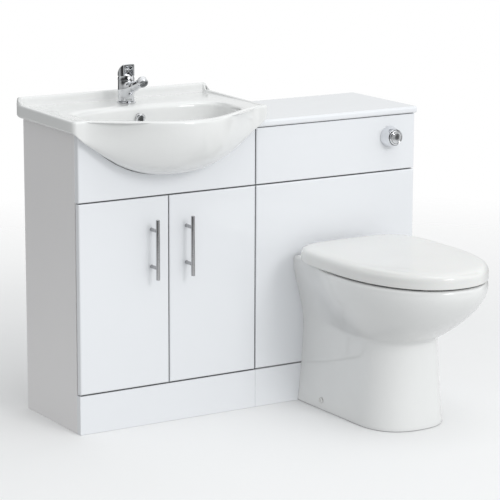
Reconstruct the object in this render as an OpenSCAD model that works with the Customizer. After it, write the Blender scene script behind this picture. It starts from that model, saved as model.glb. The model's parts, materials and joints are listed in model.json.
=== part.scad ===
// Toilet and basin combination unit: a two-door basin cabinet beside a back-to-wall toilet cabinet.
// All sizes are in millimetres. The front faces -Y, +X is to the viewer's right, the floor is z = 0.

/* [Cabinets] */
// Depth of both cabinets, from the wall to the front faces
unit_depth = 300; // [260:5:360]
// Width of the basin cabinet
vanity_w = 520; // [500:5:640]
// Height of the basin cabinet, up to the underside of the basin
vanity_h = 775; // [760:5:930]
// Width of the toilet cabinet
wc_w = 504; // [460:4:640]
// Height of the toilet cabinet, up to the underside of its worktop
wc_h = 748; // [720:4:900]
// Gap between the two cabinets
units_gap = 0.5; // [0.5:0.5:3]
// Thickness of the carcass boards
board_t = 15; // [12:1:18]
// Thickness of the back panel
back_t = 6; // [3:1:8]
// Thickness of the fixed front panels and plinths
front_t = 18; // [15:1:22]
// Rounding of the front edges of panels and doors
front_r = 4; // [3:0.5:6]
// Height of the plinths
plinth_h = 101; // [80:1:150]
// Height at which the upper fixed front panels start
fascia_z = 598; // [560:1:620]
// Seam between front panels that lie above each other
seam = 3; // [2:0.5:4]
// Distance that front panels stay back from the cabinet's sides
reveal = 1.5; // [1:0.5:2]
// Thickness of the worktop on the toilet cabinet
worktop_t = 18; // [12:1:28]
// Overhang of the worktop past the front faces
worktop_over = 5; // [0:1:20]
// Height of the cabinet shelf's underside
shelf_z = 330; // [250:5:420]

/* [Doors] */
// Thickness of the doors
door_t = 16; // [16:1:19]
// Gap between the two doors
door_gap = 2.5; // [2:0.5:4]
// Air between a closed door and the carcass
door_air = 2.5; // [2.5:0.5:4]
// Outer diameter of a hinge cup
cup_d = 35; // [35:1:40]
// Depth of a hinge cup in its door
cup_depth = 13; // [12.5:0.5:13]
// Distance of the hinges from the door's ends
hinge_inset = 85; // [60:5:120]
// Diameter of a hinge pin
hinge_pin_d = 1.9; // [1.6:0.1:2.2]
// Diameter of the handle bars
bar_d = 12; // [10:1:14]
// Length of the handle bars
bar_len = 156; // [120:2:200]
// Distance between the handle posts
post_pitch = 96; // [96:32:128]
// Distance of the bar's axis from the door's face
bar_off = 33; // [25:1:40]
// Distance of the bar's axis from the door's free edge
bar_inset = 50; // [35:1:70]
// Height of the middle of the handle bars
bar_z = 464; // [400:2:500]

/* [Basin] */
// Width of the basin
basin_w = 565; // [540:5:640]
// Distance that the basin's rim bulges past its front corners
rim_bulge = 134; // [100:2:160]
// Overhang of the basin's front corners past the front faces
basin_over = 26; // [15:1:40]
// Height of the basin's edge
basin_edge = 33; // [28:1:45]
// Height of the upstand along the wall, above the basin's edge
upstand_h = 17; // [10:1:30]
// Thickness of the upstand
upstand_t = 14; // [10:1:20]
// Depth of the bowl, from the rim to the waste
bowl_depth = 148; // [120:2:160]
// Thickness of the ceramic under the bowl at the waste
bowl_floor = 18; // [12:1:24]
// Half-width of the bowl
bowl_half = 224; // [200:2:240]
// Distance of the waste from the wall
waste_wall = 230; // [200:5:240]
// Diameter of the waste hole
waste_d = 46; // [42:1:48]
// Distance of the tap hole from the wall
tap_wall = 78; // [60:1:90]
// Diameter of the tap hole
tap_hole_d = 35; // [32:1:36]
// Diameter of the overflow hole
overflow_d = 20; // [16:1:24]
// Depth of the overflow's centre below the rim
overflow_drop = 32; // [26:1:50]
// Clearance between the bowl and the front panel's cut-out
bowl_gap = 2; // [1:0.5:5]

/* [Tap] */
// Diameter of the tap's base
tap_base_d = 50; // [44:1:56]
// Diameter of the tap's body
tap_d = 44; // [42:1:48]
// Height of the lever's pivot above the tap's base ring
tap_h = 56; // [50:1:80]
// Reach of the spout, from the body's axis
spout_reach = 104; // [80:1:130]
// Diameter of the spout's end
spout_d = 26; // [22:1:30]
// Diameter of the tap's cartridge
cartridge_d = 35; // [30:1:36]

/* [Flush] */
// Diameter of the flush button's collar
collar_d = 56; // [50:1:70]
// Distance that the flush button stands out of the panel
button_out = 38; // [30:1:45]
// Diameter of the flush button's face
button_d = 40; // [34:1:44]
// Distance of the button's axis from the cabinet's right side
button_side = 86; // [60:1:120]
// Distance of the button's axis below the worktop's underside
button_drop = 57; // [45:1:80]
// Width of the cistern
cistern_w = 360; // [320:5:400]
// Depth of the cistern, from front to back
cistern_dep = 140; // [120:5:150]
// Height of the cistern
cistern_h = 320; // [280:5:340]
// Distance of the cistern's lid below the worktop's underside
cistern_drop = 30; // [20:5:60]
// Wall of the cistern
cistern_wall = 4; // [3:0.5:6]
// Outer diameter of the flush pipe
flush_d = 40; // [36:1:44]

/* [Pan] */
// Width of the pan at its rim
pan_w = 368; // [340:2:420]
// Distance that the pan's rim stands out from the panels
pan_out = 567; // [500:5:640]
// Height of the pan's rim
pan_h = 400; // [390:5:480]
// Width of the pan's foot
foot_w = 232; // [200:2:260]
// Distance that the foot stands out from the panels
foot_out = 402; // [380:1:450]
// Height of the crease between the foot and the bowl
crease_z = 228; // [200:2:260]
// Wall of the pan's foot
foot_wall = 14; // [10:1:18]
// Height of the outlet's axis
outlet_z = 185; // [175:1:195]
// Outer diameter of the outlet
outlet_d = 102; // [98:1:104]
// Height of the flush inlet's axis
inlet_z = 335; // [325:1:345]
// Diameter of the flush inlet
inlet_d = 55; // [50:1:60]

/* [Seat] */
// Thickness of the lid's rim and dome together
lid_h = 40; // [34:1:50]
// Thickness of the lid's walls
lid_wall = 5; // [4:0.5:7]
// Air under the closed lid and the seat ring
seat_air = 4; // [3:0.5:6]
// Thickness of the seat ring
ring_h = 24; // [18:1:26]
// Width of the seat ring's flat
ring_band = 62; // [50:2:75]
// Distance of the hinge axis from the panels
hinge_back = 52; // [48:1:60]
// Height of the hinge axis above the pan
hinge_up = 20; // [18:1:24]
// Distance between the seat's two hinges
hinge_pitch = 156; // [140:2:170]
// Diameter of the seat's hinge pins
seat_pin_d = 7; // [6:0.5:8]
// Radial clearance of a pin or shaft in its bore
run_gap = 0.05; // [0.03:0.01:0.08]

/* [Hidden] */
$fn = 48;

// Places along the row of cabinets, from the basin cabinet's left side
vanity_mid = vanity_w / 2;
wc_x = vanity_w + units_gap;
wc_end = wc_x + wc_w;
pan_x = wc_x + wc_w / 2;
worktop_side = 1;
// Shift that puts the origin under the middle of the whole unit
mid_x = (vanity_mid - basin_w / 2 + wc_end + worktop_side) / 2;
lid_out = pan_out + 1;
mid_y = (unit_depth - lid_out) / 2;
eps = 0.01;
// Gap that keeps touching curved or moving faces apart
skin = 0.3;
// Gap round parts that are fixed to each other
fit_gap = 0.1;

function smooth(t) = t * t * (3 - 2 * t);
function mix(a, b, t) = a + (b - a) * t;
function clamp01(t) = min(1, max(0, t));
function power(c, n) = sign(c) * pow(abs(c), 2 / n);

// Everything is drawn from the basin cabinet's front left corner, then moved as one
module placed() translate([-mid_x, -mid_y, 0]) children();

// A solid through a list of rings with equally many points, each ring counter-clockwise from above
module loft(rings, loop = false) {
    n = len(rings[0]);
    m = len(rings);
    bands = loop ? m : m - 1;
    sides = [for (j = [0:bands - 1], i = [0:n - 1], half = [0, 1])
        let (a = j * n, b = (j + 1) % m * n, k = (i + 1) % n)
        half == 0 ? [a + i, b + i, b + k] : [a + i, b + k, a + k]];
    caps = loop ? [] : [[for (i = [0:n - 1]) i], [for (i = [n - 1:-1:0]) (m - 1) * n + i]];
    polyhedron(points = [for (r = rings) each r], faces = concat(caps, sides));
}

// A closed egg-shaped ring: half-width a, widest at yc, front at yf and back at yb
function egg(a, yf, yb, yc, z, n = 48, nf = 2.2, nb = 3.4) = [for (i = [0:n - 1])
    let (t = 360 * i / n, c = power(cos(t), sin(t) < 0 ? nf : nb), s = power(sin(t), sin(t) < 0 ? nf : nb))
    [a * c, sin(t) < 0 ? yc + (yc - yf) * s : yc + (yb - yc) * s, z]];

// A board between two corners
module board(low, high) translate(low) cube(high - low);

// A cylinder along Y from y0 to y1
module rod_y(x, y0, y1, z, d) translate([x, y1, z]) rotate([90, 0, 0]) cylinder(h = y1 - y0, d = d);

// A cylinder along X from x0 to x1
module rod_x(x0, x1, y, z, d) translate([x0, y, z]) rotate([0, 90, 0]) cylinder(h = x1 - x0, d = d);

// A cylinder along Z from z0 to z1
module rod_z(x, y, z0, z1, d) translate([x, y, z0]) cylinder(h = z1 - z0, d = d);

// Tubes along Y and Z
module tube_y(x, y0, y1, z, d, bore) difference() {
    rod_y(x, y0, y1, z, d);
    rod_y(x, y0 - 1, y1 + 1, z, bore);
}

module tube_z(x, y, z0, z1, d, bore) difference() {
    rod_z(x, y, z0, z1, d);
    rod_z(x, y, z0 - 1, z1 + 1, bore);
}

// The waste strip along an edge of length l, outside a quarter round of radius r
module edge_cut(l, r) difference() {
    translate([-1, -1, -1]) cube([r + 1, r + 1, l + 2]);
    translate([r, r, -2]) cylinder(h = l + 4, r = r);
}

// A panel with its front at y = 0 whose four front edges are rounded
module front_panel(w, h, t) difference() {
    cube([w, t, h]);
    edge_cut(h, front_r);
    translate([w, 0, 0]) mirror([1, 0, 0]) edge_cut(h, front_r);
    rotate([0, 90, 0]) mirror([1, 0, 0]) edge_cut(w, front_r);
    translate([0, 0, h]) rotate([0, 90, 0]) edge_cut(w, front_r);
}

// --- Basin cabinet -------------------------------------------------------------------------

carcass_y = front_t;
back_y = unit_depth - back_t;
rail_w = 60;
shelf_t = 15;
base_z = plinth_h;

// A side panel, with a relief inside its top front corner for the widest part of the bowl
relief_h = 3 * board_t - 10;
relief_len = 4 * board_t + 16;
relief_skin = 5;
module vanity_side(right) on_side(right) difference() {
    board([0, carcass_y, 0], [board_t, unit_depth, vanity_h]);
    board([relief_skin, carcass_y - 1, vanity_h - relief_h],
        [board_t + 1, carcass_y + relief_len, vanity_h + 1]);
}

module vanity_left_side() placed() color("gainsboro") vanity_side(false);
module vanity_right_side() placed() color("gainsboro") vanity_side(true);

module vanity_base() placed() color("gainsboro")
    board([board_t, carcass_y, base_z], [vanity_w - board_t, back_y, base_z + board_t]);

// A rail behind the seam under the fascia, and an upright rail along the wall under the basin
rear_rail_h = 120;
module vanity_rails() placed() color("gainsboro") {
    front_w = min(rail_w, waste_y - trap_d / 2 - 4 - carcass_y);
    board([board_t, carcass_y, fascia_z - board_t], [vanity_w - board_t, carcass_y + front_w, fascia_z]);
    board([board_t, unit_depth - board_t, vanity_h - rear_rail_h],
        [vanity_w - board_t, unit_depth, vanity_h]);
}

// The back panel has a cut-out for the pipes
pipe_cut_w = 200;
pipe_cut_low = 400;
pipe_cut_high = 620;
module vanity_back_panel() placed() color("gainsboro") difference() {
    board([board_t, back_y, base_z], [vanity_w - board_t, unit_depth, vanity_h - rear_rail_h]);
    board([vanity_mid - pipe_cut_w / 2, back_y - 1, pipe_cut_low],
        [vanity_mid + pipe_cut_w / 2, unit_depth + 1, pipe_cut_high]);
}

// Height of the bowl's underside where it passes the front panel, at a distance x from the middle
cut_half = basin_w / 2 - 27.5;
cut_depth = 122.5;
cut_power = 2.3;
function bowl_cut(x) = vanity_h - cut_depth * (1 - pow(min(1, abs(x) / cut_half), cut_power));

// The front panel under the basin, with a cut-out that follows the bowl
module vanity_fascia() placed() color("white") {
    half = vanity_mid - reveal;
    steps = 44;
    top = [for (i = [0:steps])
        let (x = half * sin(90 - 180 * i / steps)) [vanity_mid + x, bowl_cut(x) - bowl_gap]];
    intersection() {
        translate([0, front_t, 0]) rotate([90, 0, 0]) linear_extrude(front_t)
            polygon(concat([[vanity_mid - half, fascia_z], [vanity_mid + half, fascia_z]], top));
        translate([reveal, 0, fascia_z]) front_panel(vanity_w - 2 * reveal, vanity_h, front_t);
    }
}

module vanity_plinth() placed() color("white")
    board([0, 0, 0], [vanity_w, front_t, plinth_h]);

shelf_gap = 1;
shelf_front = 40;
module vanity_shelf() placed() color("white")
    board([board_t + shelf_gap, shelf_front, shelf_z],
        [vanity_w - board_t - shelf_gap, back_y - shelf_gap, shelf_z + shelf_t]);

// Shelf pins: one end is flush in the side, the other carries the shelf
pin_d = 5;
pin_out = 8;
module shelf_pins() placed() color("silver")
    for (side = [0, 1], y = [shelf_front + 30, back_y - 60])
        translate([side * vanity_w, 0, 0]) mirror([side, 0, 0])
            rod_x(board_t, board_t + pin_out, y, shelf_z - pin_d / 2, pin_d);

// --- Doors, hinges and handles ---------------------------------------------------------------

door_low = plinth_h + seam;
door_high = fascia_z - seam;
door_h = door_high - door_low;
door_w = vanity_mid - reveal - door_gap / 2;
door_back = carcass_y - door_air;
door_front = door_back - door_t;
// The hinge's pivot, from the door's outer edge and its back face
pivot_in = 7;
pivot_deep = cup_depth - 2.5;
cup_in = cup_d / 2 + 3.5;
cup_wall = 1;
cup_floor = 0.5;
cup_bore_gap = 0.1;
hinge_zs = [door_low + hinge_inset, door_high - hinge_inset];

// Draws for the left door as it is, and mirrored about the cabinet's middle for the right one
module on_side(right) translate([right ? vanity_w : 0, 0, 0]) mirror([right ? 1 : 0, 0, 0]) children();

module door(right) on_side(right) difference() {
    translate([reveal, door_front, door_low]) front_panel(door_w, door_h, door_t);
    for (z = hinge_zs)
        rod_y(reveal + cup_in, door_back - cup_depth - cup_bore_gap, door_back + 1, z,
            cup_d + 2 * cup_bore_gap);
    for (s = [-1, 1])
        rod_y(reveal + door_w - bar_inset, door_front - 1, door_back + 1, bar_z + s * post_pitch / 2,
            post_hole_d);
}

module left_door() placed() color("white") door(false);
module right_door() placed() color("white") door(true);

// A hinge cup with its flange and the pin that crosses it
flange_t = 0.8;
flange_h = 52;
flange_w = 20;
flange_in = 14;
cup_pin_half = sqrt(pow((cup_d - cup_wall) / 2, 2) - pow(cup_in - pivot_in, 2));
module hinge_cups(right) on_side(right) for (z = hinge_zs) translate([reveal, door_back, z]) {
    difference() {
        union() {
            rod_y(cup_in, -cup_depth, 0, 0, cup_d);
            board([flange_in, 0, -flange_h / 2], [flange_in + flange_w, flange_t, flange_h / 2]);
        }
        rod_y(cup_in, cup_floor - cup_depth, flange_t + 1, 0, cup_d - 2 * cup_wall);
    }
    rod_z(pivot_in, -pivot_deep, -cup_pin_half, cup_pin_half, hinge_pin_d);
}

module left_hinge_cups() placed() color("silver") hinge_cups(false);
module right_hinge_cups() placed() color("silver") hinge_cups(true);

// The goose-neck arm and mounting plate of each hinge: the arm passes the gap beside the side panel
arm_h = 8;
arm_t = 2.5;
arm_x = 18;
arm_floor = 0.4;
leg_up = 1.2;
eye_d = 3.2;
plate_y = 24;
plate_len = 50;
plate_h = 30;
module hinge_arm() {
    low = arm_floor + cup_floor - cup_depth;
    difference() {
        union() {
            board([reveal + arm_x, door_back + low, -arm_h / 2],
                [reveal + arm_x + arm_t, carcass_y + plate_y, arm_h / 2]);
            board([reveal + pivot_in, door_back + low, -arm_h / 2],
                [reveal + arm_x + eps, door_back - pivot_deep + leg_up, arm_h / 2]);
            rod_z(reveal + pivot_in, door_back - pivot_deep, -arm_h / 2, arm_h / 2, eye_d);
        }
        rod_z(reveal + pivot_in, door_back - pivot_deep, -arm_h, arm_h, hinge_pin_d + 2 * run_gap);
    }
    board([board_t, carcass_y + plate_y, -plate_h / 2],
        [reveal + arm_x + arm_t, carcass_y + plate_y + plate_len, plate_h / 2]);
}

module hinge_arms() placed() color("silver")
    for (right = [false, true], z = hinge_zs) on_side(right) translate([0, 0, z]) hinge_arm();

// Handle bars with blind holes for the posts, which run through the doors to a screw head
post_d = 9;
post_hole_d = 5;
post_bite = 4;
screw_head_d = 9;
screw_head_t = 1.5;
bar_y = door_front - bar_off;
module handle_bar(right) on_side(right) difference() {
    rod_z(reveal + door_w - bar_inset, bar_y, bar_z - bar_len / 2, bar_z + bar_len / 2, bar_d);
    for (s = [-1, 1])
        rod_y(reveal + door_w - bar_inset, bar_y + bar_d / 2 - post_bite, bar_y + bar_d,
            bar_z + s * post_pitch / 2, post_d);
}

module handle_posts(right) on_side(right) for (s = [-1, 1])
    translate([reveal + door_w - bar_inset, 0, bar_z + s * post_pitch / 2]) {
        rod_y(0, bar_y + bar_d / 2 - post_bite, door_front, 0, post_d);
        rod_y(0, door_front - eps, door_back, 0, post_hole_d);
        rod_y(0, door_back, door_back + screw_head_t, 0, screw_head_d);
    }

module left_handle_bar() placed() color("silver") handle_bar(false);
module right_handle_bar() placed() color("silver") handle_bar(true);
module left_handle_posts() placed() color("silver") handle_posts(false);
module right_handle_posts() placed() color("silver") handle_posts(true);

// --- Basin -------------------------------------------------------------------------------------

basin_top = vanity_h + basin_edge;
deck_z = basin_top - 3;
half_w = basin_w / 2;
waste_y = unit_depth - waste_wall;
tap_y = unit_depth - tap_wall;
bowl_bottom = deck_z - bowl_depth;
corner_r = 12;
corner_n = 4;
front_n = 26;
side_n = 7;
wall_n = 16;
rim_half = basin_w / 2 - 28;
bulge_power = 1.4;

// How far the rim bulges forward at a distance x from the middle, from 0 to 1
function bulge(x) = abs(x) >= rim_half ? 0 : pow(cos(90 * abs(x) / rim_half), bulge_power);

function corner(cx, cy, r, from) = [for (i = [0:corner_n - 1])
    let (t = from + 90 * (i + 0.5) / corner_n) [cx + r * cos(t), cy + r * sin(t)]];

// The basin's outline, drawn in by e, without the bulge: [x, y, is it on the front]
function slab_outline(e) = let (
        x = half_w - e, y0 = e - basin_over, y1 = unit_depth - e, r = max(1, corner_r - e),
        fx = x - corner_r, sy0 = y0 + corner_r, sy1 = y1 - corner_r)
    concat(
        [for (p = corner(r - x, y0 + r, r, 180)) [p.x, p.y, 1]],
        [for (i = [0:front_n - 1]) [mix(-fx, fx, i / (front_n - 1)), y0, 1]],
        [for (p = corner(x - r, y0 + r, r, 270)) [p.x, p.y, 1]],
        [for (i = [0:side_n - 1]) [x, mix(sy0, sy1, i / (side_n - 1)), 0]],
        [for (p = corner(x - r, y1 - r, r, 0)) [p.x, p.y, 0]],
        [for (i = [0:wall_n - 1]) [mix(fx, -fx, i / (wall_n - 1)), y1, 0]],
        [for (p = corner(r - x, y1 - r, r, 90)) [p.x, p.y, 0]],
        [for (i = [0:side_n - 1]) [-x, mix(sy1, sy0, i / (side_n - 1)), 0]]);

slab_pts = slab_outline(0);

// The edge ring drawn in by e: it climbs a little towards the wall, and the upstand stands up along it
upstand_end = 5;
back_rise = 5;
function edge_ring(e, z, rise, climb = back_rise) = [for (p = slab_outline(e))
    let (lift = p.y > unit_depth - upstand_t - 1 ? clamp01((half_w - abs(p.x)) / upstand_end) : 0)
    [p.x, p.y - (p[2] * bulge(p.x) * (rim_bulge - e)),
        z + climb * clamp01(p.y / unit_depth) + rise * lift]];

// Where each outline point lands on the bowl's outside, at the front panel or under the slab
bowl_back = 195;
function under_pts(y_front) = [for (p = slab_pts)
    let (t = atan2(max(p.y, 0) / unit_depth, p.x / half_w), x = p.x * cut_half / half_w)
    p[2] == 1 ? [x, y_front, bowl_cut(x)]
        : [cut_half * power(cos(t), 3), max(y_front, bowl_back * power(sin(t), 3)), vanity_h]];

// Outer rings, from the edge (turn 0) to the bowl's outside at the front panel (turn 90)
edge_z = basin_top - 8;
function outer_ring(turn) = let (o = edge_ring(0, 0, 0), u = under_pts(0))
    [for (k = [0:len(o) - 1]) let (
            w = slab_pts[k][2] * bulge(slab_pts[k].x), p = mix(0.25, 0.95, pow(w, 0.4)),
            c = pow(max(cos(turn), 0), p), s = pow(max(sin(turn), 0), 1.2 * p))
        [mix(u[k].x, o[k].x, c), mix(u[k].y, o[k].y, c), mix(edge_z, u[k].z, s)]];

// Rings under the bowl behind the front panel, from the panel (turn 0) to the waste (turn 90)
waste_ring_r = 34;
hole_core = 16;
function under_ring(turn) = let (u = under_pts(front_t + 6))
    [for (k = [0:len(u) - 1]) let (
            t = atan2(u[k].y - waste_y, u[k].x), c = pow(cos(turn), 0.8), s = pow(sin(turn), 1.1),
            wx = waste_ring_r * cos(t), wy = waste_y + waste_ring_r * sin(t))
        [mix(wx, u[k].x, c), mix(wy, u[k].y, c), mix(u[k].z, bowl_bottom - bowl_floor, s)]];

// Rings inside the bowl: superellipses about the bowl's middle
bowl_mid = 50;
bowl_lip = 26;
bowl_front = 108 + basin_over - bowl_lip;
bowl_rear = 155;
function bowl_pts(out, z) = [for (p = slab_pts) let (
        a = bowl_half + out, f = bowl_mid + bowl_front + out, b = bowl_rear - bowl_mid + out,
        d = p.y < bowl_mid ? bowl_mid + basin_over : unit_depth - bowl_mid,
        t = atan2((p.y - bowl_mid) / d, p.x / half_w), n = p.y < bowl_mid ? 2.2 : 2.8)
    [a * power(cos(t), n), bowl_mid + (sin(t) < 0 ? f : b) * power(sin(t), n), z]];

function bowl_ring(turn) = let (u = bowl_pts(0, 0))
    [for (k = [0:len(u) - 1]) let (
            t = atan2(u[k].y - waste_y, u[k].x), c = pow(cos(turn), 0.75), s = pow(sin(turn), 1.05),
            wx = waste_ring_r * cos(t), wy = waste_y + waste_ring_r * sin(t))
        [mix(wx, u[k].x, c), mix(wy, u[k].y, c), mix(deck_z - 12, bowl_bottom, s)]];

function hole_ring(z) = [for (p = under_pts(front_t + 6))
    let (t = atan2(p.y - waste_y, p.x)) [hole_core * cos(t), waste_y + hole_core * sin(t), z]];

basin_rings = concat(
    [hole_ring(bowl_bottom - bowl_floor)],
    [for (t = [90, 68, 46, 24, 0]) under_ring(t)],
    [for (t = [90, 78, 64, 50, 34, 18, 6]) outer_ring(t)],
    [edge_ring(0, edge_z + 1, upstand_h), edge_ring(2.5, basin_top - 1, upstand_h),
        edge_ring(9, basin_top, upstand_h), edge_ring(upstand_t, deck_z + 0.5, 0, 0)],
    [bowl_pts(16, deck_z), bowl_pts(6, deck_z - 3.5)],
    [for (t = [0, 14, 28, 42, 56, 72, 90]) bowl_ring(t)],
    [hole_ring(bowl_bottom)]);

// The overflow's place on the bowl's back wall, and how far that wall leans back
overflow_z = deck_z - overflow_drop;
overflow_y = 145;
overflow_lean = 14;
overflow_seat_d = 30;
module at_overflow() translate([vanity_mid, overflow_y, overflow_z])
    rotate([90 + overflow_lean, 0, 0]) children();

pocket_half = 150;
deck_t = 15;
waste_rim_d = 66;
waste_rim_t = 2.5;
module basin() placed() color("white") difference() {
    translate([vanity_mid, 0, 0]) loft(basin_rings, loop = true);
    rod_z(vanity_mid, waste_y, bowl_bottom - bowl_floor - 5, bowl_bottom + 5, waste_d);
    rod_z(vanity_mid, waste_y, bowl_bottom - waste_rim_t, bowl_bottom + 20, waste_rim_d);
    rod_z(vanity_mid, tap_y, vanity_h - 20, basin_top + 5, tap_hole_d);
    rod_z(vanity_mid, tap_y, deck_z, basin_top + 5, tap_base_d + 2);
    translate([vanity_mid - pocket_half, bowl_back + 5, vanity_h - 1])
        cube([2 * pocket_half, unit_depth - bowl_back - 20, deck_z - deck_t - vanity_h + 1]);
    at_overflow() translate([0, 0, -26]) cylinder(h = 60, d = overflow_d);
    at_overflow() cylinder(h = 40, d = overflow_seat_d);
}

// Chrome ring that lines the overflow
overflow_ring_d = 27;
module overflow_ring() placed() color("silver") at_overflow() rotate_extrude()
    polygon([[7.5, -12], [overflow_d / 2 - skin, -12], [overflow_d / 2 - skin, skin],
        [overflow_ring_d / 2, skin], [overflow_ring_d / 2, 1.6], [11.5, 3], [9, 3], [7.5, 1.6]]);

// --- Basin waste and trap ------------------------------------------------------------------------

under_z = bowl_bottom - bowl_floor;
tail_d = waste_d - 2 * skin;
tail_len = 50;
tail_low = under_z - tail_len;
tail_bore = 36;
stem_d = 6;
guide_z = under_z - 12;
guide_t = 4;
guide_w = 8;

// The waste: a flange in the bowl's recess, a tail through the bowl and a guide for the plug's stem
module basin_waste() placed() color("silver") translate([vanity_mid, waste_y, 0]) {
    difference() {
        union() {
            translate([0, 0, bowl_bottom - waste_rim_t + 0.1])
                cylinder(h = waste_rim_t - 0.1, d = waste_rim_d - 2 * skin);
            translate([0, 0, tail_low]) cylinder(h = bowl_bottom - tail_low - 1, d = tail_d);
        }
        translate([0, 0, tail_low - 1]) cylinder(h = bowl_bottom - tail_low + 5, d = tail_bore);
    }
    difference() {
        translate([-tail_bore / 2 - 1, -guide_w / 2, guide_z - guide_t])
            cube([tail_bore + 2, guide_w, guide_t]);
        translate([0, 0, guide_z - guide_t - 1]) cylinder(h = guide_t + 2, d = stem_d + 2 * run_gap);
    }
}

// A washer under the bowl and the nut that draws it up
washer_d = 60;
washer_t = 3;
waste_nut_d = 56;
waste_nut_t = 11;
module basin_waste_nut() placed() color("dimgray") translate([vanity_mid, waste_y, under_z]) {
    tube_z(0, 0, -washer_t, -2 * fit_gap, washer_d, tail_d + 2 * fit_gap);
    tube_z(0, 0, -washer_t - waste_nut_t, -washer_t - fit_gap, waste_nut_d, tail_d + 2 * fit_gap);
}

// The plug's domed cover and its stem
plug_d = 62;
module basin_plug() placed() color("silver") translate([vanity_mid, waste_y, 0]) rotate_extrude()
    polygon([[0, guide_z - 22], [stem_d / 2, guide_z - 22], [stem_d / 2, bowl_bottom - 4],
        [9, bowl_bottom - 2], [9, bowl_bottom + skin], [plug_d / 2 - 1, bowl_bottom + skin],
        [plug_d / 2, bowl_bottom + 1.2], [plug_d / 2 - 3, bowl_bottom + 3.2],
        [plug_d / 4, bowl_bottom + 5], [0, bowl_bottom + 5.6]]);

trap_d = 56;
trap_wall = 3;
trap_out_d = 32;
trap_socket = 16;
trap_shoulder = 12;
trap_arm = 50;
trap_arm_d = 40;
trap_out_z = tail_low - 32;
trap_low = trap_out_z - 42;
module bottle_trap() placed() color("white") translate([vanity_mid, waste_y, 0]) difference() {
    union() {
        rod_z(0, 0, trap_low, tail_low + trap_socket, trap_d);
        rod_y(0, 0, trap_arm, trap_out_z, trap_arm_d);
        rod_y(0, 0, unit_depth - waste_y, trap_out_z, trap_out_d);
    }
    rod_z(0, 0, tail_low - 2 * fit_gap, tail_low + trap_socket + 1, tail_d + 2 * fit_gap);
    rod_z(0, 0, tail_low - trap_shoulder, tail_low, tail_bore);
    rod_z(0, 0, trap_low - 1, tail_low - trap_shoulder + 1, trap_d - 2 * trap_wall);
    rod_y(0, 0, unit_depth - waste_y + 1, trap_out_z, trap_out_d - 2 * trap_wall);
}

cup_h = 30;
module trap_cup() placed() color("white") translate([vanity_mid, waste_y, trap_low - cup_h]) difference() {
    cylinder(h = cup_h - fit_gap, d = trap_d);
    translate([0, 0, trap_wall]) cylinder(h = cup_h, d = trap_d - 2 * trap_wall);
}

// --- Tap -----------------------------------------------------------------------------------------

base_ring_t = 4;
tap_base_z = deck_z + base_ring_t;
pivot_z = tap_base_z + tap_h;
shank_d = 31;
shank_bore = 22;
shank_bite = 8;
shank_drop = 30;
inlet_hole_d = 9;
inlet_x = 6;
spout_drop = 35;
cartridge_low = pivot_z - 40;
cartridge_bore = 14;
cartridge_floor = 12;
dome_d = tap_d;
neck_d = tap_d - 12;
neck_low = tap_base_z + 12;
neck_top = pivot_z - 6;
spout_end = 6;
aerator_in = 4;

module at_tap() translate([vanity_mid, tap_y, 0]) children();

module tap_base_ring() placed() color("silver") at_tap() translate([0, 0, deck_z]) difference() {
    cylinder(h = base_ring_t, d = tap_base_d);
    translate([0, 0, -1]) cylinder(h = base_ring_t + 2, d = shank_d + 2);
}

// The spout's end points forward and down by spout_drop degrees
module at_spout() translate([0, -spout_reach + spout_d / 2, pivot_z + 2])
    rotate([90 + spout_drop, 0, 0]) children();

module tap_body() placed() color("silver") at_tap() difference() {
    union() {
        rod_z(0, 0, tap_base_z, pivot_z, tap_d);
        hull() {
            rod_z(0, 0, neck_low, neck_top, neck_d);
            at_spout() translate([0, 0, spout_end - 20]) cylinder(h = 20, d = spout_d);
        }
    }
    rod_z(0, 0, cartridge_low, pivot_z + 1, cartridge_d + 2 * fit_gap);
    rod_z(0, 0, pivot_z, pivot_z + dome_d, dome_d + 2 * skin);
    rod_z(0, 0, tap_base_z - 1, tap_base_z + shank_bite, shank_d + 2 * fit_gap);
    for (x = [-inlet_x, inlet_x])
        rod_z(x, 0, tap_base_z, cartridge_low + 1, inlet_hole_d);
    at_spout() translate([0, 0, -aerator_in]) cylinder(h = 20, d = spout_d - 4);
    rod_y(0, -spout_reach + spout_d / 2 + 2, 0, cartridge_low - 1 + inlet_hole_d, inlet_hole_d);
}

module tap_cartridge() placed() color("white") at_tap() difference() {
    rod_z(0, 0, cartridge_low + fit_gap, pivot_z - boss_h - skin, cartridge_d);
    rod_z(0, 0, cartridge_low + cartridge_floor, pivot_z + 1, cartridge_bore + 2 * run_gap);
}

// The dome turns with the lever; its spigot runs in the cartridge and its pin carries the lever
tongue_w = 9;
slot_play = 0.4;
slot_len = 32;
tongue_eye_d = 10;
boss_h = 8;
boss_d = 30;
lever_pin_d = 4;
module tap_stem() placed() color("silver") at_tap() {
    difference() {
        union() {
            intersection() {
                translate([0, 0, pivot_z]) sphere(d = dome_d);
                rod_z(0, 0, pivot_z + skin, pivot_z + dome_d, dome_d + 2);
            }
            rod_z(0, 0, pivot_z - boss_h, pivot_z + 1, boss_d);
            rod_z(0, 0, cartridge_low + cartridge_floor + slot_play, pivot_z - boss_h + 1, cartridge_bore);
        }
        translate([-tongue_w / 2 - slot_play, -slot_len / 2, pivot_z - tongue_eye_d / 2 - 0.6])
            cube([tongue_w + 2 * slot_play, slot_len, dome_d]);
    }
    rod_x(-tongue_w, tongue_w, 0, pivot_z, lever_pin_d);
}

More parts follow.
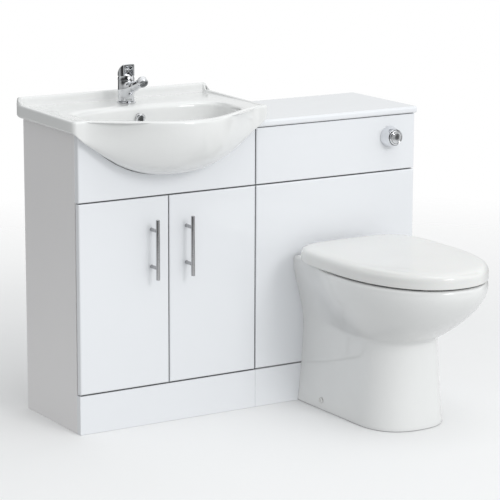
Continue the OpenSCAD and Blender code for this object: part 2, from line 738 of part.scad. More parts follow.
// The lever: a hood over the dome, open in front between two fins, and the tongue that hangs on the pin
lever_h = 42;
lever_lip = 14;
lever_low = 10;
lever_w = 34;
scoop_d = 19;
scoop_y = -12;
scoop_half = lever_w / 2 - 5.5;
roof_t = 5.5;
module hood() intersection() {
    translate([-dome_d, 0, 0]) rotate([90, 0, 90]) linear_extrude(2 * dome_d) intersection() {
        translate([-lever_lip, lever_low]) square([2 * dome_d, lever_h - lever_low]);
        union() {
            translate([dome_d / 2 - lever_h, 0]) circle(r = lever_h);
            translate([-lever_lip, 0]) square([lever_lip + dome_d / 2 - lever_h + 1, lever_h]);
        }
    }
    union() {
        cylinder(h = lever_h, d = dome_d);
        translate([-lever_w / 2, -lever_lip, 0]) cube([lever_w, lever_lip, lever_h]);
    }
}

module tap_lever() placed() color("silver") at_tap() translate([0, 0, pivot_z]) difference() {
    union() {
        difference() {
            hood();
            sphere(d = dome_d + 2 * slot_play);
            rod_x(-scoop_half, scoop_half, scoop_y, lever_h - roof_t - scoop_d / 2, scoop_d);
        }
        translate([-tongue_w / 2, -tongue_eye_d / 2, 0]) cube([tongue_w, tongue_eye_d, dome_d / 2 + 3]);
        rod_x(-tongue_w / 2, tongue_w / 2, 0, 0, tongue_eye_d);
    }
    rod_x(-tongue_w, tongue_w, 0, 0, lever_pin_d + 2 * run_gap);
}

module tap_aerator() placed() color("gray") at_tap() at_spout() difference() {
    rod_z(0, 0, fit_gap - aerator_in, spout_end + 1.5, spout_d - 4 - 2 * fit_gap);
    for (k = [0:5])
        rotate([0, 0, 60 * k]) rod_z(spout_d / 5, 0, -aerator_in - 1, spout_end + 2, spout_d / 6.5);
}

module tap_shank() placed() color("goldenrod") at_tap() difference() {
    rod_z(0, 0, vanity_h - shank_drop, tap_base_z + shank_bite - fit_gap, shank_d);
    rod_z(0, 0, vanity_h - shank_drop - 1, tap_base_z + shank_bite, shank_bore);
}

backnut_t = 10;
backnut_d = 44;
module tap_backnut() placed() color("goldenrod") at_tap() translate([0, 0, deck_z - deck_t])
    tube_z(0, 0, -backnut_t, -fit_gap, backnut_d, shank_d + 2 * fit_gap);

// --- Toilet cabinet --------------------------------------------------------------------------------

button_x = wc_end - button_side;
button_z = wc_h - button_drop;
module wc_left_side() placed() color("gainsboro")
    board([wc_x, carcass_y, 0], [wc_x + board_t, unit_depth, wc_h]);

module wc_right_side() placed() color("gainsboro")
    board([wc_end - board_t, carcass_y, 0], [wc_end, unit_depth, wc_h]);

// Front rails under the worktop and behind the panels' seam; rear rails along the wall
module wc_rails() placed() color("gainsboro") {
    low = [wc_x + board_t, 0, 0];
    w = wc_w - 2 * board_t;
    translate(low) {
        translate([0, carcass_y, wc_h - board_t]) cube([w, rail_w / 2, board_t]);
        translate([0, carcass_y, fascia_z - board_t]) cube([w, rail_w, board_t]);
        translate([0, unit_depth - board_t, wc_h - rear_rail_h]) cube([w, board_t, rear_rail_h]);
        translate([0, unit_depth - board_t, plinth_h / 4]) cube([w, board_t, plinth_h / 2]);
    }
}

panel_w = wc_w - 2 * reveal;
module wc_upper_panel() placed() color("white") difference() {
    translate([wc_x + reveal, 0, fascia_z]) front_panel(panel_w, wc_h - seam / 2 - fascia_z, front_t);
    rod_y(button_x, -1, front_t + 1, button_z, barrel_d + 1);
}

module wc_lower_panel() placed() color("white") difference() {
    translate([wc_x + reveal, 0, door_low]) front_panel(panel_w, door_h, front_t);
    rod_y(pan_x, -1, front_t + 1, inlet_z, inlet_d + 15);
    rod_y(pan_x, -1, front_t + 1, outlet_z, outlet_d + 14);
}

module wc_plinth() placed() color("white")
    board([wc_x, 0, 0], [wc_end, front_t, plinth_h]);

// The worktop has a rounded front edge
worktop_r = 7;
module wc_worktop() placed() color("white") difference() {
    board([wc_x, -worktop_over, wc_h], [wc_end + worktop_side, unit_depth, wc_h + worktop_t]);
    for (up = [0, 1])
        translate([wc_x, -worktop_over, wc_h + up * worktop_t]) mirror([0, 0, up])
            rotate([0, 90, 0]) mirror([1, 0, 0]) edge_cut(wc_w + worktop_side, worktop_r);
}

// --- Cistern -----------------------------------------------------------------------------------------

tank_x = pan_x - cistern_w / 2;
tank_back = unit_depth - board_t - 5;
tank_front = tank_back - cistern_dep;
tank_high = wc_h - cistern_drop;
tank_low = tank_high - cistern_h;
tank_r = 20;
flush_y = (tank_front + tank_back) / 2;
fill_x = tank_x + 50;
lift_d = 50;

module rounded_box(w, d, h, r) linear_extrude(h) union() {
    translate([r, 0]) square([w - 2 * r, d]);
    translate([0, r]) square([w, d - 2 * r]);
    for (x = [r, w - r], y = [r, d - r])
        translate([x, y]) circle(r = r);
}

module cistern_tank() placed() color("gray") difference() {
    translate([tank_x, tank_front, tank_low]) rounded_box(cistern_w, cistern_dep, cistern_h, tank_r);
    translate([tank_x + cistern_wall, tank_front + cistern_wall, tank_low + cistern_wall])
        rounded_box(cistern_w - 2 * cistern_wall, cistern_dep - 2 * cistern_wall, cistern_h,
            tank_r - cistern_wall);
    rod_z(pan_x, flush_y, tank_low - 1, tank_low + cistern_wall + 1, flush_d + 0.2);
    rod_z(fill_x, flush_y, tank_low - 1, tank_low + cistern_wall + 1, fill_tail_d + 0.2);
}

module cistern_lid() placed() color("gray") {
    lip = 3;
    plug_wall = 3;
    plug_w = cistern_w - 2 * cistern_wall - 2;
    plug_dep = cistern_dep - 2 * cistern_wall - 2;
    translate([tank_x - lip, tank_front - lip, tank_high])
        rounded_box(cistern_w + 2 * lip, cistern_dep + 2 * lip, 4, tank_r + lip);
    translate([tank_x + cistern_wall + 1, tank_front + cistern_wall + 1, tank_high - 5]) difference() {
        rounded_box(plug_w, plug_dep, 5 + eps, tank_r - 5);
        translate([plug_wall, plug_wall, -1])
            rounded_box(plug_w - 2 * plug_wall, plug_dep - 2 * plug_wall, 6, tank_r - 5 - plug_wall);
    }
}

// Two brackets hang the cistern on the rear rail
module cistern_brackets() placed() color("silver")
    for (x = [pan_x - cistern_w / 3, pan_x + cistern_w / 3])
        translate([x - 15, tank_back, tank_high - 70]) cube([30, unit_depth - board_t - tank_back, 60]);

// The fill valve: a tail through the floor, a column, and a head that guides the float
fill_tail_d = 20;
column_d = 16;
float_d = 46;
float_h = 50;
float_low = tank_low + 120;
fill_tail_len = 30;
fill_flange_d = 34;
fill_nut_d = 32;
fill_nut_t = 12;
fill_body_d = 26;
fill_head_d = 40;
fill_head_h = 20;
module fill_valve() placed() color("white") {
    head_low = tank_high - 2 * fill_head_h;
    rod_z(fill_x, flush_y, tank_low - fill_tail_len, tank_low + fill_tail_len, fill_tail_d);
    rod_z(fill_x, flush_y, tank_low + cistern_wall, tank_low + cistern_wall + 6, fill_flange_d);
    rod_z(fill_x, flush_y, tank_low - fill_nut_t, tank_low - fit_gap, fill_nut_d);
    rod_z(fill_x, flush_y, tank_low + fill_tail_len - 1, float_low - 3, fill_body_d);
    rod_z(fill_x, flush_y, float_low - 4, head_low + 10, column_d);
    rod_z(fill_x, flush_y, head_low, head_low + fill_head_h, fill_head_d);
}

module fill_float() placed() color("white") difference() {
    rod_z(fill_x, flush_y, float_low, float_low + float_h, float_d);
    rod_z(fill_x, flush_y, float_low - 1, float_low + float_h + 1, column_d + 0.8);
}

// The flush valve: a seat in the tank's outlet, four posts and a cap that guide the lifting tube
valve_d = 74;
seat_top = tank_low + 26;
guide_low = tank_low + 150;
guide_h = 20;
rib_d = 6;
module flush_valve() placed() color("white") translate([pan_x, flush_y, 0]) {
    difference() {
        union() {
            rod_z(0, 0, tank_low + cistern_wall, seat_top, valve_d);
            rod_z(0, 0, tank_low - flush_tail, tank_low + cistern_wall + 1, flush_d);
            rod_z(0, 0, guide_low, guide_low + guide_h, valve_d);
            for (a = [45:90:315])
                rotate([0, 0, a]) rod_z(valve_d / 2 - 4, 0, seat_top - 1, guide_low + 1, rib_d);
        }
        rod_z(0, 0, tank_low - flush_tail - 1, seat_top + 1, flush_d - 6);
        rod_z(0, 0, guide_low - 1, guide_low + guide_h + 1, lift_d + 2 * skin);
    }
}

// The overflow tube with its seal, which lifts off the seat to flush
module flush_lift() placed() color("red") translate([pan_x, flush_y, 0]) difference() {
    union() {
        rod_z(0, 0, seat_top + skin, seat_top + 5, lift_d + 8);
        rod_z(0, 0, seat_top + 4, tank_high - 60, lift_d);
    }
    rod_z(0, 0, seat_top - 1, tank_high - 59, flush_d - 8);
}

// The flush pipe: down from the cistern, round an elbow and forward through the panel to the pan
elbow_r = 35;
pipe_front = 6;
pipe_wall = 2;
flush_tail = 20;
elbow_wall = 4;
module flush_pipe() placed() color("white") {
    bore = flush_d - 2 * pipe_wall;
    elbow_bore = flush_d - pipe_wall;
    elbow_d = elbow_bore + 2 * elbow_wall;
    collar_bore = flush_d - 1;
    turn_z = inlet_z + elbow_r;
    turn_y = flush_y - elbow_r;
    pipe_top = tank_low - flush_tail - 0.1;
    translate([pan_x, turn_y, turn_z]) rotate([90, 0, 90]) rotate([0, 0, -90])
        rotate_extrude(angle = 90) translate([elbow_r, 0]) difference() {
            circle(d = elbow_d);
            circle(d = elbow_bore);
        }
    tube_z(pan_x, flush_y, turn_z - 2, pipe_top, flush_d, bore);
    tube_z(pan_x, flush_y, turn_z - 3, pipe_top - 1, elbow_d + 8, collar_bore);
    tube_z(pan_x, flush_y, pipe_top - 2, tank_low - 0.1, elbow_d + 12, flush_d + 0.2);
    tube_y(pan_x, pipe_front, turn_y + 2, inlet_z, flush_d, bore);
    tube_y(pan_x, turn_y - 9, turn_y + 3, inlet_z, elbow_d + 8, collar_bore);
}

// Rubber cone that seals the flush pipe in the pan's inlet
cone_len = 34;
module flush_cone() placed() color("dimgray") difference() {
    rod_y(pan_x, pipe_front - cone_len + 10, pipe_front + 10, inlet_z, inlet_d - 2 * skin);
    rod_y(pan_x, pipe_front - 0.1, pipe_front + 11, inlet_z, flush_d + 0.2);
    rod_y(pan_x, pipe_front - cone_len, pipe_front + 1, inlet_z, flush_d - 2 * pipe_wall);
}

// --- Flush button ------------------------------------------------------------------------------------

barrel_d = 50;
barrel_back = 62;
barrel_nut_d = 66;
barrel_nut_t = 10;
rod_d = 6;
button_gap = 0.5;
full_share = 0.3;
module at_button() translate([button_x, 0, button_z]) rotate([90, 0, 0]) children();

// The chrome collar outside the panel, its barrel through the panel and the nut behind it
module flush_collar() placed() color("silver") at_button() {
    well_d = button_d + 2 * button_gap;
    rotate_extrude() polygon([[well_d / 2, -barrel_back], [barrel_d / 2, -barrel_back], [barrel_d / 2, skin],
        [collar_d / 2, skin], [collar_d / 2, 4], [collar_d / 2 - 1, 10], [collar_d / 2 - 3, 18],
        [collar_d / 2 - 5.4, button_out - 9], [collar_d / 2 - 6.2, button_out - 6.5],
        [well_d / 2 + 0.6, button_out - 6], [well_d / 2, button_out - 7]]);
    translate([0, 0, -barrel_back]) cylinder(h = 3, d = well_d + eps);
    tube_z(0, 0, -front_t - barrel_nut_t, -front_t - 2 * fit_gap, barrel_nut_d, barrel_d + 2 * fit_gap);
}

// A flush button: the part of a domed plunger on one side of a split at a distance cut from the axis
module plunger(cut, side) {
    intersection() {
        rotate_extrude() polygon([[0, -14], [button_d / 2, -14], [button_d / 2, button_out - 3],
            [button_d / 2 - 2, button_out - 1], [button_d / 4, button_out - 0.3], [0, button_out]]);
        translate([side > 0 ? cut + button_gap / 2 : -button_d, -button_d, -20])
            cube([side > 0 ? button_d : button_d + cut - button_gap / 2, 2 * button_d, 100]);
    }
    rod_z(cut + side * (side > 0 ? 8 : 14), 0, 12 - barrel_back, -13, rod_d);
}

button_cut = button_d * (0.5 - full_share) / 2;
module flush_button_full() placed() color("silver") at_button() plunger(button_cut, -1);
module flush_button_half() placed() color("silver") at_button() plunger(button_cut, 1);

// --- Pan -----------------------------------------------------------------------------------------------

rim_low = pan_h - 15;
waist_half = foot_w / 2 - 10;
neck_half = foot_w / 2 - 14;
neck_z = 200;
foot_flare = 10;
pan_front_n = 24;
pan_side_n = 7;
pan_back_n = 8;

// Shape of the pan's outside by height: flare of the foot and swell of the bowl, from 0 to 1
function flare(z, top) = z >= top ? 0 : pow(1 - z / top, 1.5);
function swell(z, p) = 1 - pow(1 - clamp01((z - crease_z) / (rim_low - crease_z)), p);
function pan_half(z) = waist_half + 10 * flare(z, crease_z) + (pan_w / 2 - waist_half) * swell(z, 1.7);
function pan_front(z) = let (waist = foot_out - foot_flare)
    waist + foot_flare * flare(z, crease_z) + (pan_out - waist) * swell(z, 1.65);
function pan_back_half(z) = neck_half + 16 * flare(z, neck_z)
    + (pan_w / 2 - 50 - neck_half) * pow(smooth(clamp01((z - neck_z) / (rim_low - neck_z))), 1.3);
function pan_wide_y(z) = z < crease_z ? mix(0.69, 0.64, z / crease_z) * foot_out
    : mix(0.64 * foot_out, 0.49 * pan_out, (z - crease_z) / (pan_h - crease_z));

// A ring round the pan at height z, drawn in by e: flat along the panels and round in front
function pan_ring(z, e = 0) = let (
        a = pan_half(z) - e, b = pan_back_half(z) - e, f = pan_front(z) - e, w = pan_wide_y(z),
        n = mix(2.4, 2.2, clamp01(z / rim_low)), y1 = -skin - e)
    concat(
        [for (i = [0:pan_front_n]) let (t = 180 + 180 * i / pan_front_n)
            [a * power(cos(t), n), (f - w) * power(sin(t), n) - w, z]],
        [for (i = [1:pan_side_n]) let (t = i / (pan_side_n + 1))
            [mix(a, b, smooth(t)), mix(-w, y1, t), z]],
        [for (i = [0:pan_back_n]) [mix(b, -b, i / pan_back_n), y1, z]],
        [for (i = [pan_side_n:-1:1]) let (t = i / (pan_side_n + 1))
            [-mix(a, b, smooth(t)), mix(-w, y1, t), z]]);

// Sections of the bowl's inside, as shares of the pan's height, width and reach
bowl_rows = [
    // height, half-width, front, back
    [1, 0.364, 0.931, 0.296],
    [0.985, 0.364, 0.931, 0.296],
    [0.95, 0.359, 0.928, 0.300],
    [0.875, 0.348, 0.910, 0.309],
    [0.80, 0.329, 0.882, 0.317],
    [0.725, 0.302, 0.825, 0.325],
    [0.655, 0.266, 0.755, 0.328],
    [0.56, 0.212, 0.656, 0.332],
    [0.46, 0.158, 0.561, 0.335],
    [0.375, 0.120, 0.497, 0.340],
    [0.31, 0.098, 0.462, 0.348],
    [0.295, 0.082, 0.450, 0.356]];
opening_y = 330 / 567 * pan_out;
bowl_turns = [for (p = pan_ring(pan_h, 7))
    atan2((p.y + opening_y) / (p.y < -opening_y ? pan_out - opening_y : opening_y), 2 * p.x / pan_w)];

// A ring round the bowl's inside at one of those sections, moved out by e and down by drop
function bowl_section(row, e = 0, drop = 0) = let (
        a = row[1] * pan_w + e, f = row[2] * pan_out + e, b = row[3] * pan_out - e, c = mix(b, f, 0.47))
    [for (t = bowl_turns)
        [a * power(cos(t), 2.2), (sin(t) < 0 ? f - c : c - b) * power(sin(t), 2.2) - c,
            row[0] * pan_h - drop]];

// The pan is one shell: under the sump, out under the bowl, down inside the foot, up outside, over the rim
// and down the bowl
bowl_wall = 12;
hollow_z = 204;
pan_rings = concat(
    [bowl_section(bowl_rows[11], bowl_wall - 4, bowl_wall)],
    [for (k = [10, 9, 8]) bowl_section(bowl_rows[k], bowl_wall)],
    [bowl_section(bowl_rows[8], bowl_wall + 3, bowl_rows[8][0] * pan_h - hollow_z)],
    [for (z = [hollow_z, hollow_z - 8, 110, 30, 0]) pan_ring(z, foot_wall + (z == hollow_z ? 5 : 0))],
    [pan_ring(0, 1.5)],
    [for (s = [0.012, 0.15, 0.35, 0.6, 0.85, 0.96, 1]) pan_ring(crease_z * s)],
    [for (s = [0.04, 0.1, 0.2, 0.34, 0.5, 0.68, 0.85, 1]) pan_ring(mix(crease_z, rim_low, s))],
    [pan_ring(pan_h - 5, 1.5), pan_ring(pan_h - 1.2, 4), pan_ring(pan_h, 8)],
    [bowl_section(bowl_rows[0], 7)],
    [for (k = [1:len(bowl_rows) - 1]) bowl_section(bowl_rows[k])]);

outlet_back = 60;
outlet_front = 95;
outlet_wall = 7;
trap_bore = 56;
weir_y = 100;
weir_z = 265;
sump_y = 230;
sump_z = 122;
block_half = 40;
block_low = 112;
block_reach = 186;
jet_d = 30;
jet_reach = 0.32 * pan_out;
spigot_in = 70;
hollow_in = 52;
hollow_out = neck_half - foot_wall - 2;
hollow_y = 150;
hollow_top = pan_h - 30;
hinge_hole_d = 14;
cap_y = 110;
cap_z = 25;
cap_hole_d = 12;

// A passage in the pan's middle plane between two points [distance from the panels, height]
module lane(from, to, d) let (dy = from.x - to.x, dz = to.y - from.y)
    translate([0, -from.x, from.y]) rotate([atan2(-dy, dz), 0, 0]) translate([0, 0, -d / 4])
        cylinder(h = norm([dy, dz]) + d / 2, d = d);

module pan() placed() color("white") translate([pan_x, 0, 0]) difference() {
    union() {
        loft(pan_rings);
        rod_y(0, -outlet_front, outlet_back, outlet_z, outlet_d);
        board([-block_half, -block_reach, block_low], [block_half, -weir_y, hollow_z + 20]);
    }
    lane([sump_y, sump_z], [weir_y, weir_z], trap_bore);
    lane([weir_y, weir_z - 3], [60, outlet_z + 10], trap_bore - 4);
    rod_y(0, -spigot_in, outlet_back + 1, outlet_z, outlet_d - 2 * outlet_wall);
    rod_y(0, -spigot_in, 1, inlet_z, inlet_d);
    rod_y(0, -jet_reach, 10 - spigot_in, inlet_z + 6, jet_d);
    for (s = [-1, 1]) {
        board([min(s * hollow_in, s * hollow_out), -hollow_y, hollow_z - 30],
            [max(s * hollow_in, s * hollow_out), -foot_wall, hollow_top]);
        rod_z(s * hinge_pitch / 2, -hinge_back, hollow_top - 5, pan_h + 5, hinge_hole_d);
        rod_x(s > 0 ? 70 : -foot_w, s > 0 ? foot_w : -70, -cap_y, cap_z, cap_hole_d);
    }
}

// The soil connector: a socket over the pan's outlet and a plain pipe end for the drain
socket_d = 124;
pipe_end_d = 110;
socket_front = front_t + 4;
module pan_connector() placed() color("dimgray") translate([pan_x, 0, 0]) difference() {
    union() {
        rod_y(0, socket_front, outlet_back + 10, outlet_z, socket_d);
        rod_y(0, socket_front + 1, unit_depth, outlet_z, pipe_end_d);
    }
    rod_y(0, socket_front - 1, outlet_back + 0.5, outlet_z, outlet_d + 2 * skin);
    rod_y(0, outlet_back, unit_depth + 1, outlet_z, outlet_d - 2 * outlet_wall);
}

// Caps over the screws that hold the pan to the floor
cap_d = 16;
cap_x = pan_back_half(cap_z) + 0.7;
module pan_fixing_caps() placed() color("white") translate([pan_x, -cap_y, cap_z]) for (s = [0, 1])
    mirror([s, 0, 0]) rotate([0, 90, 0]) rotate_extrude()
        polygon([[0, cap_x - 12], [cap_hole_d / 2 - skin, cap_x - 12], [cap_hole_d / 2 - skin, cap_x],
            [cap_d / 2, cap_x], [cap_d / 2, cap_x + 1.5], [cap_d / 4, cap_x + 3], [0, cap_x + 3.4]]);

// --- Seat ------------------------------------------------------------------------------------------------

lid_half = pan_w / 2 + 1;
lid_mid = -270 / 567 * pan_out;
lid_back = 10 - hinge_back;
lid_low = pan_h + seat_air;
lid_top = lid_low + lid_h;
axis_z = pan_h + hinge_up;
ring_low = lid_low + 1;
cavity_z = ring_low + ring_h + 6;
ear_d = 15;
ear_len = 8.5;
post_half = 8.5;
post_w = 12;
ear_gap = 1;
ear_at = post_half + ear_gap;
slot_side = 45;
seat_n = 60;
seat_front = 2.2;
seat_back = 4.6;

function lid_ring(e, z) = egg(lid_half - e, e - lid_out, lid_back - e, lid_mid, z, seat_n,
    seat_front, seat_back);

lid_rings = [lid_ring(lid_wall + 9, cavity_z), lid_ring(lid_wall, cavity_z - 9), lid_ring(lid_wall, lid_low),
    lid_ring(2, lid_low), lid_ring(0, lid_low + 0.12 * lid_h), lid_ring(0, lid_low + 0.45 * lid_h),
    lid_ring(1.5, lid_low + 0.64 * lid_h), lid_ring(6, lid_low + 0.8 * lid_h),
    lid_ring(14, lid_low + 0.9 * lid_h), lid_ring(30, lid_low + 0.96 * lid_h),
    lid_ring(70, lid_top - 0.5), lid_ring(110, lid_top)];

// Cylinders on the hinge axis, mirrored to both hinges, from in to out along X about each post
module at_hinges() translate([pan_x, -hinge_back, axis_z]) for (s = [0, 1]) mirror([s, 0, 0])
    translate([hinge_pitch / 2, 0, 0]) children();

module seat_lid() placed() color("white") difference() {
    union() {
        difference() {
            translate([pan_x, 0, 0]) loft(lid_rings);
            translate([pan_x - hinge_pitch / 2 - slot_side, -hinge_back - 22, lid_low - 1])
                cube([hinge_pitch + 2 * slot_side, hinge_back, cavity_z - lid_low + 1]);
        }
        at_hinges() {
            rod_x(ear_at, ear_at + ear_len, 0, 0, ear_d);
            translate([ear_at, -ear_d / 2, 0]) cube([ear_len, ear_d, cavity_z - axis_z + 1]);
        }
    }
    at_hinges() rod_x(0, 40, 0, 0, seat_pin_d + 2 * run_gap);
}

ring_half = lid_half - lid_wall - 4;
ring_front = lid_out - lid_wall - 4;
ring_back = -hinge_back - 23;
hole_mid = -320 / 567 * pan_out;
hole_back = -185 / 567 * pan_out;
function seat_outer(e, z) = egg(ring_half - e, e - ring_front, ring_back - e, lid_mid, z, seat_n,
    seat_front, seat_back);
function seat_hole(e, z) = egg(ring_half - ring_band + e, ring_band - ring_front - e, hole_back + e,
    hole_mid, z, seat_n);

ring_rings = [seat_hole(3, ring_low), seat_outer(4, ring_low), seat_outer(0, ring_low + 0.2 * ring_h),
    seat_outer(1, ring_low + 0.65 * ring_h), seat_outer(8, ring_low + 0.92 * ring_h),
    seat_outer(22, ring_low + ring_h), seat_hole(20, ring_low + 0.94 * ring_h),
    seat_hole(6, ring_low + 0.72 * ring_h), seat_hole(0, ring_low + 0.3 * ring_h)];

module seat_ring() placed() color("white") difference() {
    union() {
        translate([pan_x, 0, 0]) loft(ring_rings, loop = true);
        at_hinges() {
            rod_x(-ear_at - ear_len, -ear_at, 0, 0, ear_d);
            translate([-ear_at - ear_len, ring_back + hinge_back - 6, -ear_d / 2])
                cube([ear_len, -ring_back - hinge_back + 6, ear_d - 2]);
        }
    }
    at_hinges() rod_x(-40, 0, 0, 0, seat_pin_d + 2 * run_gap);
}

// Each hinge post: a disc on the pan, a neck with a barrel, and a bolt with a nut under the pan
base_d = 28;
base_t = 4;
bolt_d = 8;
bolt_tail = 12;
hinge_nut_d = 14;
hinge_nut_t = 14;
module seat_hinge_posts() placed() color("silver") at_hinges() difference() {
    nut_top = hollow_top - 2 * fit_gap - axis_z;
    union() {
        rod_z(0, 0, fit_gap - hinge_up, base_t - hinge_up, base_d);
        translate([-post_half, -post_w / 2, base_t - 1 - hinge_up])
            cube([2 * post_half, post_w, hinge_up - base_t + 1]);
        rod_x(-post_half, post_half, 0, 0, ear_d);
        rod_z(0, 0, nut_top - hinge_nut_t - bolt_tail, 1 - hinge_up, bolt_d);
        rod_z(0, 0, nut_top - hinge_nut_t, nut_top, hinge_nut_d);
    }
    rod_x(-20, 20, 0, 0, seat_pin_d + 2 * run_gap);
}

pin_half = ear_at + ear_len + 0.5;
module seat_hinge_pins() placed() color("silver") at_hinges()
    rod_x(-pin_half, pin_half, 0, 0, seat_pin_d);

// Rubber buffers under the seat ring, over the middle of the pan's rim
buffer_d = 18;
function rim_point(t) = [(pan_w / 2 - 30) * power(cos(t), 2.2),
    -opening_y + (pan_out - 21 - opening_y) * power(sin(t), 2.2)];
module seat_buffers() placed() color("white") for (t = [190, 240, 300, 350]) let (p = rim_point(t))
    rod_z(pan_x + p.x, p.y, pan_h + skin, ring_low - fit_gap / 2, buffer_d);

vanity_left_side();
vanity_right_side();
vanity_base();
vanity_rails();
vanity_back_panel();
vanity_fascia();
vanity_plinth();
vanity_shelf();
shelf_pins();
left_door();
right_door();
left_handle_bar();
left_handle_posts();
right_handle_bar();
right_handle_posts();
left_hinge_cups();
right_hinge_cups();
hinge_arms();
basin();
overflow_ring();
basin_waste();
basin_waste_nut();
basin_plug();
bottle_trap();
trap_cup();
tap_base_ring();
tap_body();
tap_cartridge();
tap_stem();
tap_lever();
tap_aerator();
tap_shank();
tap_backnut();
wc_left_side();
wc_right_side();
wc_rails();
wc_upper_panel();
wc_lower_panel();
wc_plinth();
wc_worktop();
cistern_tank();
cistern_lid();
cistern_brackets();
fill_valve();
fill_float();
flush_valve();
flush_lift();
flush_pipe();
flush_cone();
flush_collar();
flush_button_full();
flush_button_half();
pan();
pan_connector();
pan_fixing_caps();
seat_ring();
seat_lid();
seat_hinge_posts();
seat_hinge_pins();
seat_buffers();
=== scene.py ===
import bpy, bmesh, json, math
import numpy as np
from mathutils import Vector, Matrix

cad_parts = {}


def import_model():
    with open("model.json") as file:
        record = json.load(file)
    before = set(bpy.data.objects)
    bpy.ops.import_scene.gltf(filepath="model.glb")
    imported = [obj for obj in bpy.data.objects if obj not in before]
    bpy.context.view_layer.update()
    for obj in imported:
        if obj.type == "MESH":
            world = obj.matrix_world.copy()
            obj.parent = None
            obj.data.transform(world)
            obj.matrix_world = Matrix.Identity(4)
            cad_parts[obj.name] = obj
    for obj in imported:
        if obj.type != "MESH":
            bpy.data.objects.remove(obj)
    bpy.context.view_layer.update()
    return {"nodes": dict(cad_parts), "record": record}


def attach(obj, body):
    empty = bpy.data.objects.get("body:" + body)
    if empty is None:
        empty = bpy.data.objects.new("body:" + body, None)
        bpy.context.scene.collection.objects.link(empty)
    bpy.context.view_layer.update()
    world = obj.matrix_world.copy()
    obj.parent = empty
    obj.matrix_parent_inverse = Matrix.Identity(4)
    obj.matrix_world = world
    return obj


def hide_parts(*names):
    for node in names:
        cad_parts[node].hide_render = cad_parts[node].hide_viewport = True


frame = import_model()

MID_X, MID_Y = 501.5, -134.0          # the frame's origin in the drawing's millimetres
WELD = 1e-6                           # vertices closer than this many metres are one
sin, cos, pi = math.sin, math.cos, math.pi


def P(x, y, z):
    """A point of the drawing, in millimetres, as a point of the frame, in metres."""
    return ((x - MID_X) / 1000, (y - MID_Y) / 1000, z / 1000)


def mix(a, b, t):
    return a + (b - a) * t


def clamp01(t):
    return min(1.0, max(0.0, t))


def smooth(t):
    """An ease from 0 to 1 with level ends."""
    return t * t * (3 - 2 * t)


def power(c, n):
    """A sine or cosine turned into that of a superellipse with exponent n."""
    return math.copysign(abs(c) ** (2 / n), c)


def sind(a):
    return sin(math.radians(a))


def cosd(a):
    return cos(math.radians(a))


# ---------------------------------------------------------------- materials

# samples of the ambient occlusion that paints shade into the colour in gaps and crevices
PAINTED_SHADE_SAMPLES = 12


class Nodes:
    """A material's node tree with short calls."""

    def __init__(self, name):
        self.mat = bpy.data.materials.new(name)
        self.mat.use_nodes = True
        self.t = self.mat.node_tree
        self.bsdf = self.t.nodes["Principled BSDF"]
        self.co = self.t.nodes.new("ShaderNodeTexCoord").outputs["Object"]

    def feed(self, socket, value):
        """Links an output to the socket, or sets the socket to a plain value."""
        if isinstance(value, bpy.types.NodeSocket):
            self.t.links.new(value, socket)
        else:
            socket.default_value = value

    def node(self, kind, **sockets):
        n = self.t.nodes.new(kind)
        for key, value in sockets.items():
            self.feed(n.inputs[key], value)
        return n

    def noise(self, scale, detail=3.0, rough=0.5, stretch=(1, 1, 1), w=0.0):
        """Noise in object space; w moves it, so that two noises of one scale differ."""
        m = self.node("ShaderNodeMapping", Vector=self.co)
        m.inputs["Scale"].default_value = stretch
        m.inputs["Location"].default_value = (w, w * 0.7, w * 1.3)
        return self.node("ShaderNodeTexNoise", Vector=m.outputs[0], Scale=scale, Detail=detail,
                         Roughness=rough).outputs["Fac"]

    def span(self, fac, low, high, a=0.3, b=0.7):
        """fac from a to b, mapped to low to high."""
        r = self.node("ShaderNodeMapRange", Value=fac)
        for key, value in (("From Min", a), ("From Max", b), ("To Min", low), ("To Max", high)):
            r.inputs[key].default_value = value
        return r.outputs[0]

    def blend(self, fac, a, b):
        m = self.t.nodes.new("ShaderNodeMix")
        m.data_type = "RGBA"
        for s, value in ((m.inputs[0], fac), (m.inputs[6], a), (m.inputs[7], b)):
            self.feed(s, (*value, 1) if isinstance(value, tuple) else value)
        return m.outputs[2]

    def speckle(self, a, b, *noise, **more):
        """A colour that wanders softly from a to b."""
        return self.blend(self.span(self.noise(*noise, **more), 0.0, 1.0), a, b)

    def set(self, key, value):
        self.feed(self.bsdf.inputs[key], value)

    def painted_shade_in_gaps(self, colour, reach, dark=(0.015, 0.015, 0.016)):
        """The colour with painted shade: blended towards dark where ambient occlusion finds the surface
        closed in within the given reach in metres.
        """
        ao = self.node("ShaderNodeAmbientOcclusion", Distance=reach)
        ao.samples = PAINTED_SHADE_SAMPLES
        return self.blend(self.span(ao.outputs["AO"], 0.0, 1.0, 0.10, 0.42), dark, colour)

    def bump(self, height, strength, distance, below=None):
        b = self.node("ShaderNodeBump", Height=height, Strength=strength, Distance=distance)
        if below:
            self.t.links.new(below, b.inputs["Normal"])
        self.t.links.new(b.outputs[0], self.bsdf.inputs["Normal"])
        return b.outputs[0]


def glaze():
    m = Nodes("white_glaze")
    body = m.speckle((0.825, 0.83, 0.823), (0.855, 0.86, 0.853), 6, 4)
    # painted shade: the glaze turns grey where it is closed in within 12 mm, as in the gap under the seat
    m.set("Base Color", m.painted_shade_in_gaps(body, 0.012, (0.16, 0.16, 0.16)))
    m.set("Roughness", m.span(m.noise(30, 3, w=3), 0.05, 0.10))
    m.set("IOR", 1.52)
    m.set("Coat Weight", 0.6)
    m.set("Coat Roughness", 0.03)
    low = m.bump(m.noise(9, 2, 0.4, w=7), 0.05, 0.002)
    m.bump(m.noise(160, 2, 0.5, w=1), 0.02, 0.0004, low)
    return m.mat


